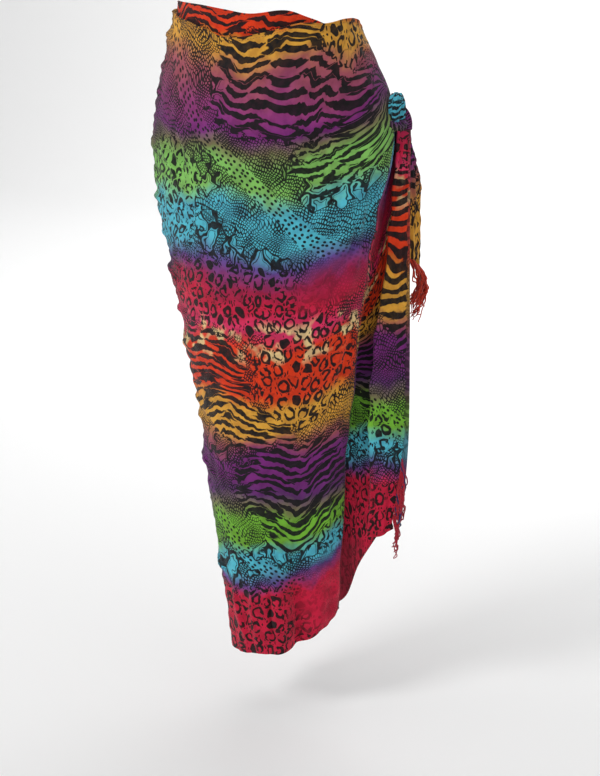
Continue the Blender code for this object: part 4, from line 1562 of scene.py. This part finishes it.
def weave(paint, along, drop, shader):
    """The plain weave and its slubs, as relief."""
    threads = (along * WEAVE_TURNS).sine() * (drop * WEAVE_TURNS).sine()
    slub = paint.noise(paint.vector(along * 6.0, drop), 260.0, 2.0)
    crease = paint.noise(paint.vector(along, drop), 46.0, 3.0, 0.55)
    paint.relief(threads * 0.5 + slub * 0.8 + crease * 5.0, 0.55, 0.00035, shader)


def printed_finish(reverse=False):
    """The printed cloth, or its reverse, where the print shows through dulled."""
    tones = bpy.context.scene.sarong_print
    name = "printed cloth, reverse" if reverse else "printed cloth"
    material, shader, paint = new_finish(name, 0.82, 0.12, 0.22)
    along, drop, turned_and_shaded = paint.parts(paint.attribute("cloth_place"))
    # Painted shade: on the turned part the marks are halved and the dye is blended half way to a
    # dark wine
    marks = print_marks(paint, along, drop) * (1.0 - turned_and_shaded * 0.5)
    colour = dye_colour(paint, along, drop)
    colour = paint.blend(turned_and_shaded * 0.5, colour, TURNED_SIDE_SHADE_TONE)
    if reverse:
        colour = paint.blend(0.34, colour, REVERSE_TONE)
        marks = marks * 0.62
    fade = paint.noise(paint.vector(along, drop + 8.8), 120.0, 2.0)
    marks = marks * (0.90 + fade * 0.14)
    painted = paint.blend(marks.least(1.0), colour, (*tones.mark, 1.0))
    paint.feed(painted, shader, "Base Color")
    weave(paint, along, drop, shader)
    return material


def finish_named(name, make):
    """A material that several operators use, made once."""
    return bpy.data.materials.get(name) or make()


def cloth_finishes():
    """The printed cloth and its reverse."""
    return (
        finish_named("printed cloth", printed_finish),
        finish_named("printed cloth, reverse", lambda: printed_finish(reverse=True)),
    )


def fringe_finish(name, main_levels, other_levels):
    """Twisted strands, most in one colour and a few in another."""
    material, shader, paint = new_finish(name, 0.8, 0.3, 0.25)
    strand, forwards, _none = paint.parts(paint.attribute("strand"))
    other = (strand - 0.86).step(-0.01, 0.01)
    colour = paint.blend(other, (*linear(*main_levels), 1.0), (*linear(*other_levels), 1.0))
    fleck = paint.noise(paint.vector(strand * 40.0, forwards), 60.0, 2.0)
    colour = paint.blend(fleck.step(0.35, 0.75) * 0.5, colour, FLECK_TONE, "MULTIPLY")
    paint.feed(colour, shader, "Base Color")
    paint.relief((forwards * 260.0 + strand * 9.0).sine(), 0.6, 0.0003, shader)
    return material


def thread_finish():
    """The hem's stitching thread."""
    material, shader, paint = new_finish("hem thread", 0.7, 0.2, 0.3)
    place = paint.node("ShaderNodeTexCoord", {}, {}, "Object")
    fleck = paint.node("ShaderNodeTexNoise", {}, {"Vector": place, "Scale": 900.0}, "Fac")
    colour = paint.blend(fleck, (*linear(36, 30, 34), 1.0), (*linear(92, 60, 66), 1.0))
    paint.feed(colour, shader, "Base Color")
    return material


def gathered_bundle(build, path, pleats, depth, rings=26, sides=72):
    """A closed bundle of gathered cloth along a path. Returns its print places in order."""
    shares = np.linspace(0, 1, rings)
    centres = np.stack([smooth(path, shares, column) for column in (1, 2, 3)], axis=1)
    radius = smooth(path, shares, 4)
    drop = smooth(path, shares, 5)
    ways = np.gradient(centres, axis=0)
    ways /= np.linalg.norm(ways, axis=1, keepdims=True)
    places = []
    ring_verts = []
    for centre, way, size, share, level in zip(centres, ways, radius, shares, drop):
        side = np.cross(way, (1.0, 0.0, 0.0))
        side /= np.linalg.norm(side)
        up = np.cross(side, way)
        ring = []
        for number in range(sides):
            turn = 2 * math.pi * number / sides
            ridge = math.cos(pleats * turn + 2.0 * share)
            ridge += 0.5 * math.cos((pleats - 4) * turn + 5.0 * share)
            reach = size * (1 + depth * ridge * (1 - 0.3 * math.cos(2 * math.pi * share)))
            place = centre + reach * (math.cos(turn) * side + math.sin(turn) * up)
            ring.append(build.verts.new(place))
            level_here = level + BUNDLE_ROUND * math.cos(turn)
            places.append((share * BUNDLE_ALONG, level_here, turn * size))
        ring_verts.append(ring)
    for first, second in zip(ring_verts, ring_verts[1:]):
        for number in range(sides):
            after = (number + 1) % sides
            build.faces.new((first[number], first[after], second[after], second[number]))
    build.faces.new(list(reversed(ring_verts[0])))
    build.faces.new(ring_verts[-1])
    return places


class SARONG_OT_front(Operator):
    """Drapes the front panel of the wrap"""

    bl_idname = "sarong.front"
    bl_label = "Front drape"

    def execute(self, context):
        sheet = cloth_sheet("front_drape", panel_form, "front_panel", columns=150, rows=300)
        return {"FINISHED"}


class SARONG_OT_back(Operator):
    """Drapes the back of the wrap"""

    bl_idname = "sarong.back"
    bl_label = "Back drape"

    def execute(self, context):
        sheet = cloth_sheet("back_drape", back_form, "back_wrap", columns=110, rows=220)
        return {"FINISHED"}


class SARONG_OT_under(Operator):
    """Lays the inner layer under the front panel"""

    bl_idname = "sarong.under"
    bl_label = "Inner layer"

    def execute(self, context):
        sheet = cloth_sheet("under_layer", inner_form, "inner_wrap", columns=84, rows=190)
        return {"FINISHED"}


class SARONG_OT_fall(Operator):
    """Pleats the fall of cloth below the knot"""

    bl_idname = "sarong.fall"
    bl_label = "Side fall"

    def execute(self, context):
        sheet = cloth_sheet("pleated_fall", fall_form, "side_fall", columns=150, rows=240)
        return {"FINISHED"}


class SARONG_OT_tail(Operator):
    """Hangs the loose corner from the knot"""

    bl_idname = "sarong.tail"
    bl_label = "Loose corner"

    def execute(self, context):
        sheet = cloth_sheet("loose_corner", tail_form, "knot_tail", columns=60, rows=110)
        return {"FINISHED"}


class SARONG_OT_knot(Operator):
    """Gathers the cloth into the knot at the hip"""

    bl_idname = "sarong.knot"
    bl_label = "Knot"

    def execute(self, context):
        build = bmesh.new()
        places = []
        for path, pleats, depth in KNOT_BUNDLES:
            places += gathered_bundle(build, path, pleats, depth)
        bmesh.ops.recalc_face_normals(build, faces=build.faces)
        mesh = bpy.data.meshes.new("knot_gathers")
        build.to_mesh(mesh)
        build.free()
        along, drop, around = np.array(places).T
        ones = np.ones_like(along)
        keep_vector(mesh, "cloth_place", (along, drop))
        keep_vector(mesh, "patches", (ones, -ones))
        keep_vector(mesh, "band", (ones, along, -ones))
        way = (around * KNOT_FINER, (along + around * 0.35) * KNOT_FINER)
        keep_vector(mesh, "stripe_way", way)
        mesh.materials.append(cloth_finishes()[0])
        mesh.shade_smooth()
        settle(placed("knot_gathers", mesh), ["knot"])
        return {"FINISHED"}


def group_tree(name, inputs):
    """A new geometry tree with named inputs, and a Value for each of them."""
    group = bpy.data.node_groups.new(name, "GeometryNodeTree")
    tree = Tree(group.nodes, group.links)
    for label, kind, default in (("Geometry", "Geometry", None), *inputs):
        kind = "NodeSocket" + kind
        socket = group.interface.new_socket(label, in_out="INPUT", socket_type=kind)
        if default is not None:
            socket.default_value = default
    group.interface.new_socket("Geometry", in_out="OUTPUT", socket_type="NodeSocketGeometry")
    start = group.nodes.new("NodeGroupInput")
    values = {output.name: Value(tree, output) for output in start.outputs if output.name}
    return group, tree, values


def end_tree(group, tree, shape, material):
    """Ends a geometry tree in real geometry with its material."""
    real = tree.node("GeometryNodeRealizeInstances", {}, {"Geometry": shape})
    dressed = tree.node("GeometryNodeSetMaterial", {}, {"Geometry": real, "Material": material})
    group.links.new(dressed.socket, group.nodes.new("NodeGroupOutput").inputs[0])


def grown(name, guide, group, settings):
    """The plain mesh that a geometry tree grows on a guide, which is then removed."""
    grow = guide.modifiers.new(name, "NODES")
    grow.node_group = group
    for socket in group.interface.items_tree:
        if socket.name in settings:
            grow[socket.identifier] = settings[socket.name]
    depsgraph = bpy.context.evaluated_depsgraph_get()
    mesh = bpy.data.meshes.new_from_object(guide.evaluated_get(depsgraph), depsgraph=depsgraph)
    mesh.name = name
    bpy.data.objects.remove(guide)
    return placed(name, mesh)


def edge_guide(name, rows):
    """A mesh of open lines, with the print's attributes, from rows of a sheet's points."""
    mesh = bpy.data.meshes.new(name)
    points = np.concatenate([row["points"] for row in rows])
    edges = []
    count = 0
    for row in rows:
        size = len(row["points"])
        edges += [(count + k, count + k + 1) for k in range(size - 1)]
        count += size
    mesh.from_pydata(points.tolist(), edges, [])
    for key in rows[0]:
        if key != "points":
            keep_vector(mesh, key, np.concatenate([row[key] for row in rows]).T)
    return placed(name, mesh)


def vector_grid(items, name, columns):
    """The vectors of a mesh's points, as a grid with so many columns."""
    values = np.empty(len(items) * 3, np.float32)
    items.foreach_get(name, values)
    return values.reshape(-1, columns, 3)


def sheet_row(name, row, inward):
    """One row of a sheet, its attributes, and the step from it to a row further in."""
    sheet = bpy.data.objects[name]
    columns = sheet["columns"] + 1
    mesh = sheet.data
    grid = vector_grid(mesh.vertices, "co", columns)
    found = {"points": grid[row], "inward": grid[inward] - grid[row]}
    found["outwards"] = vector_grid(mesh.vertex_normals, "vector", columns)[row]
    for key in ("cloth_place", "patches", "band", "stripe_way"):
        found[key] = vector_grid(mesh.attributes[key].data, "vector", columns)[row]
    return found


def hem_rows():
    """The long edges of every sheet that are hemmed."""
    rows = []
    for name in ("front_drape", "back_drape", "under_layer"):
        rows.append(sheet_row(name, 0, 1))
        rows.append(sheet_row(name, -1, -2))
    rows.append(sheet_row("pleated_fall", 0, 1))
    return rows


def end_as_tubes(group, tree, line, sides, values, scale=1.0):
    """Ends a geometry tree in a smooth tube along each line, thinned by its scale."""
    round_ring = {"Resolution": sides, "Radius": values["Radius"]}
    ring = tree.node("GeometryNodeCurvePrimitiveCircle", {}, round_ring)
    ends = {"Curve": line, "Profile Curve": ring, "Scale": scale, "Fill Caps": True}
    tubes = tree.node("GeometryNodeCurveToMesh", {}, ends)
    tubes = tree.node("GeometryNodeSetShadeSmooth", {}, {"Geometry": tubes})
    end_tree(group, tree, tubes, values["Material"])


def roll_tree():
    """A rolled hem swept along each line."""
    inputs = (("Radius", "Float", 0.001), ("Material", "Material", None))
    group, tree, values = group_tree("rolled hem", inputs)
    line = tree.node("GeometryNodeMeshToCurve", {}, {"Mesh": values["Geometry"]})
    end_as_tubes(group, tree, line, 6, values)
    return group


def stitch_tree():
    """Short stitches in a row beside each line, laid along it."""
    inputs = (
        ("Pitch", "Float", 0.004),
        ("Length", "Float", 0.0024),
        ("Radius", "Float", 0.0003),
        ("Material", "Material", None),
    )
    group, tree, values = group_tree("hem stitches", inputs)
    line = tree.node("GeometryNodeMeshToCurve", {}, {"Mesh": values["Geometry"]})
    spaced = {"Curve": line, "Length": values["Pitch"]}
    line = tree.node("GeometryNodeResampleCurve", {"mode": "LENGTH"}, spaced)
    shift = tree.kept("stitch_shift")
    line = tree.node("GeometryNodeSetPosition", {}, {"Geometry": line, "Offset": shift})
    ball = {"Segments": 6, "Rings": 4, "Radius": values["Radius"]}
    bead = tree.node("GeometryNodeMeshUVSphere", {}, ball)
    size = tree.vector(1.0, 1.0, values["Length"] / (values["Radius"] * 2))
    tangent = tree.node("GeometryNodeInputTangent")
    turn = tree.node("FunctionNodeAlignRotationToVector", {"axis": "Z"}, {"Vector": tangent})
    laid = {"Points": line, "Instance": bead, "Rotation": turn, "Scale": size}
    stitches = tree.node("GeometryNodeInstanceOnPoints", {}, laid)
    end_tree(group, tree, stitches, values["Material"])
    return group


class SARONG_OT_hems(Operator):
    """Rolls and stitches the hems on the long edges"""

    bl_idname = "sarong.hems"
    bl_label = "Hems"

    def execute(self, context):
        cloth = context.scene.sarong_cloth
        rows = hem_rows()
        for row in rows:
            inward = row["inward"] / np.linalg.norm(row["inward"], axis=1, keepdims=True)
            rise = row.pop("outwards") * (cloth.thickness / 2 + STITCH_RISE)
            row.pop("inward")
            row["stitch_shift"] = inward * STITCH_INSET + rise
        settings = {"Radius": cloth.roll_radius, "Material": cloth_finishes()[0]}
        roll = grown("rolled_hems", edge_guide("hem_lines", rows), roll_tree(), settings)
        settle(roll, [])
        thread = finish_named("hem thread", thread_finish)
        settings = {"Pitch": cloth.stitch_pitch, "Material": thread}
        guide = edge_guide("stitch_lines", rows)
        settle(grown("hem_stitches", guide, stitch_tree(), settings), [])
        return {"FINISHED"}


def strand_tree():
    """Strands of uneven length that hang from each line, wave and lean together."""
    inputs = (
        ("Count", "Int", 40),
        ("Length", "Float", 0.07),
        ("Radius", "Float", 0.0006),
        ("Wave", "Float", 0.016),
        ("Bulge", "Vector", None),
        ("Tip", "Vector", None),
        ("Gather", "Float", 0.5),
        ("Seed", "Int", 7),
        ("Material", "Material", None),
    )
    group, tree, values = group_tree("fringe strands", inputs)
    by_count = {"mode": "COUNT"}
    line = tree.node("GeometryNodeMeshToCurve", {}, {"Mesh": values["Geometry"]})
    spaced = {"Curve": line, "Count": values["Count"]}
    roots = tree.node("GeometryNodeResampleCurve", by_count, spaced)
    strand = tree.node("GeometryNodeCurvePrimitiveLine", {}, {"End": (0.0, 0.0, -1.0)})
    strand = tree.node("GeometryNodeResampleCurve", by_count, {"Curve": strand, "Count": 22})
    size = tree.vector(1.0, 1.0, tree.drawn(0.62, 1.0, values["Seed"]) * values["Length"])
    laid = {"Points": roots, "Instance": strand, "Scale": size}
    hung = tree.node("GeometryNodeInstanceOnPoints", {}, laid)
    lot = tree.drawn(0.0, 1.0, values["Seed"] + 3)
    hung = tree.keep(hung, "strand", tree.vector(lot, 0.0, 0.0), "INSTANCE")
    hung = tree.node("GeometryNodeRealizeInstances", {}, {"Geometry": hung})
    lot = tree.parts(tree.kept("strand"))[0]
    forwards = tree.node("GeometryNodeSplineParameter", {}, {}, "Factor")
    place = tree.node("GeometryNodeInputPosition")
    curl = {"Vector": place, "W": lot * 4.0, "Scale": 56.0, "Detail": 1.0}
    spin = tree.node("ShaderNodeTexNoise", {"noise_dimensions": "4D"}, curl, "Color")
    reach = forwards.math("POWER", forwards, 0.7) * values["Wave"]
    centred = tree.vector_math("SUBTRACT", spin, (0.5, 0.5, 0.5))
    sway = tree.vector_math("SCALE", centred, reach)
    bulge = tree.vector_math("SCALE", values["Bulge"], (forwards * math.pi).sine())
    away = tree.vector_math("SUBTRACT", values["Tip"], place)
    level = tree.vector_math("MULTIPLY", away, (1.0, 1.0, 0.0))
    gathered = tree.vector_math("SCALE", level, forwards * forwards * values["Gather"])
    moved = tree.vector_math("ADD", tree.vector_math("ADD", sway, bulge), gathered)
    strands = tree.node("GeometryNodeSetPosition", {}, {"Geometry": hung, "Offset": moved})
    strands = tree.keep(strands, "strand", tree.vector(lot, forwards, 0.0), "POINT")
    end_as_tubes(group, tree, strands, 5, values, 1.0 - forwards * forwards * 0.45)
    return group


def hang_fringe(name, node, roots, group, settings):
    """Hangs strands from a line of roots, in place of a node."""
    guide = edge_guide(name + "_roots", [{"points": roots}])
    radius = bpy.context.scene.sarong_fringe.radius
    settle(grown(name, guide, group, {"Radius": radius, **settings}), [node])


class SARONG_OT_fringes(Operator):
    """Hangs the fringe on the short end and on the loose corner"""

    bl_idname = "sarong.fringes"
    bl_label = "Fringes"

    def execute(self, context):
        fringe = context.scene.sarong_fringe
        group = strand_tree()
        heights = np.linspace(FALL_FRINGE_TOP, FALL_FRINGE_FOOT, 24)
        settings = {
            "Count": fringe.fall_strands,
            "Length": fringe.fall_length,
            "Wave": 0.026,
            "Bulge": (0.0080, -0.0060, 0.0),
            "Tip": (0.2040, -0.0060, 0.0),
            "Gather": 0.12,
            "Seed": 11,
            "Material": fringe_finish("crimson fringe", (176, 22, 48), (34, 44, 96)),
        }
        roots = fall_places(heights)[:, -1]
        hang_fringe("fall_fringe", "fringe_fall", roots, group, settings)
        settings = {
            "Count": fringe.tail_strands,
            "Length": fringe.tail_length,
            "Wave": 0.042,
            "Bulge": (0.0090, 0.0080, 0.0),
            "Tip": (0.2060, 0.0300, 0.0),
            "Gather": 0.45,
            "Seed": 5,
            "Material": fringe_finish("orange fringe", (206, 52, 22), (150, 30, 24)),
        }
        roots = sheet_row("loose_corner", 0, 1)["points"]
        hang_fringe("corner_fringe", "fringe_tail", roots, group, settings)
        return {"FINISHED"}


def lamp(name, place, aim, size, power):
    """A soft square light that looks from its place to its aim."""
    light = bpy.data.lights.new(name, "AREA")
    light.energy = power
    light.size = size
    holder = placed(name, light)
    holder.location = place
    holder.rotation_euler = (Vector(aim) - Vector(place)).to_track_quat("-Z", "Y").to_euler()


def floor_and_wall(height):
    """A pale floor that turns up into a backdrop behind the object."""
    profile = [(FLOOR_FRONT, 0.0), (FLOOR_BACK, 0.0)]
    for angle in np.radians(np.linspace(0, 90, 13)[1:]):
        rise = WALL_TURN - WALL_TURN * math.cos(angle)
        profile.append((FLOOR_BACK + WALL_TURN * math.sin(angle), rise))
    profile.append((FLOOR_BACK + WALL_TURN, WALL_TOP))
    build = bmesh.new()
    sides = (-FLOOR_HALF, FLOOR_HALF)
    rows = [[build.verts.new((x, y, z + height)) for x in sides] for y, z in profile]
    for first, second in zip(rows, rows[1:]):
        build.faces.new((first[0], first[1], second[1], second[0]))
    mesh = bpy.data.meshes.new("studio_floor")
    build.to_mesh(mesh)
    build.free()
    mesh.shade_smooth()
    material, shader, _paint = new_finish("pale floor", 0.9, 0.0, 0.2)
    shader.inputs["Base Color"].default_value = (0.92, 0.92, 0.92, 1.0)
    mesh.materials.append(material)
    floor = placed("studio_floor", mesh)


class SARONG_OT_stage(Operator):
    """Sets the floor, the lights and the camera"""

    bl_idname = "sarong.stage"
    bl_label = "Stage"

    def execute(self, context):
        stage = context.scene.sarong_stage
        floor_and_wall(stage.floor_height)
        context.scene.view_settings.view_transform = "Standard"
        for light in LAMPS:
            lamp(*light)
        world = bpy.data.worlds.new("soft room")
        world.use_nodes = True
        background = world.node_tree.nodes["Background"]
        background.inputs["Color"].default_value = (1, 1, 1, 1)
        background.inputs["Strength"].default_value = 0.50
        context.scene.world = world
        lens = bpy.data.cameras.new("camera")
        lens.sensor_width = 36.0
        lens.lens = FOCAL_PIXELS / FRAME_PIXELS * lens.sensor_width
        camera = placed("camera", lens)
        camera.location = (
            stage.distance * math.sin(stage.side),
            -stage.distance * math.cos(stage.side),
            stage.camera_height,
        )
        aside = math.atan(MIDDLE_PIXELS / FOCAL_PIXELS)
        camera.rotation_euler = (math.pi / 2 - stage.tilt, 0.0, stage.side - aside)
        context.scene.camera = camera
        return {"FINISHED"}


class SARONG_PT_panel(Panel):
    """Lists the sizes, colours and pieces"""

    bl_idname = "SARONG_PT_panel"
    bl_label = "Tied Sarong"
    bl_space_type = "VIEW_3D"
    bl_region_type = "UI"
    bl_category = "Sarong"

    def draw(self, context):
        for held, group in GROUPS.items():
            box = self.layout.box()
            for name in group.__annotations__:
                box.prop(getattr(context.scene, held), name)
        for operator in OPERATORS:
            self.layout.operator(operator.bl_idname)


OPERATORS = (
    SARONG_OT_front,
    SARONG_OT_back,
    SARONG_OT_under,
    SARONG_OT_fall,
    SARONG_OT_tail,
    SARONG_OT_knot,
    SARONG_OT_hems,
    SARONG_OT_fringes,
    SARONG_OT_stage,
)
GROUPS = {
    "sarong_cloth": SarongCloth,
    "sarong_print": SarongPrint,
    "sarong_fringe": SarongFringe,
    "sarong_stage": SarongStage,
}


def register():
    """Makes the groups, the operators and the panel known."""
    for group in GROUPS.values():
        bpy.utils.register_class(group)
    for operator in OPERATORS:
        bpy.utils.register_class(operator)
    bpy.utils.register_class(SARONG_PT_panel)
    for name, group in GROUPS.items():
        setattr(bpy.types.Scene, name, PointerProperty(type=group))


def unregister():
    """Takes them away again, in reverse."""
    for name in GROUPS:
        delattr(bpy.types.Scene, name)
    bpy.utils.unregister_class(SARONG_PT_panel)
    for operator in reversed(OPERATORS):
        bpy.utils.unregister_class(operator)
    for group in reversed(list(GROUPS.values())):
        bpy.utils.unregister_class(group)


def main():
    """Makes every piece and the stage."""
    register()
    for operator in OPERATORS:
        family, name = operator.bl_idname.split(".")
        getattr(getattr(bpy.ops, family), name)()


if __name__ == "__main__":
    main()
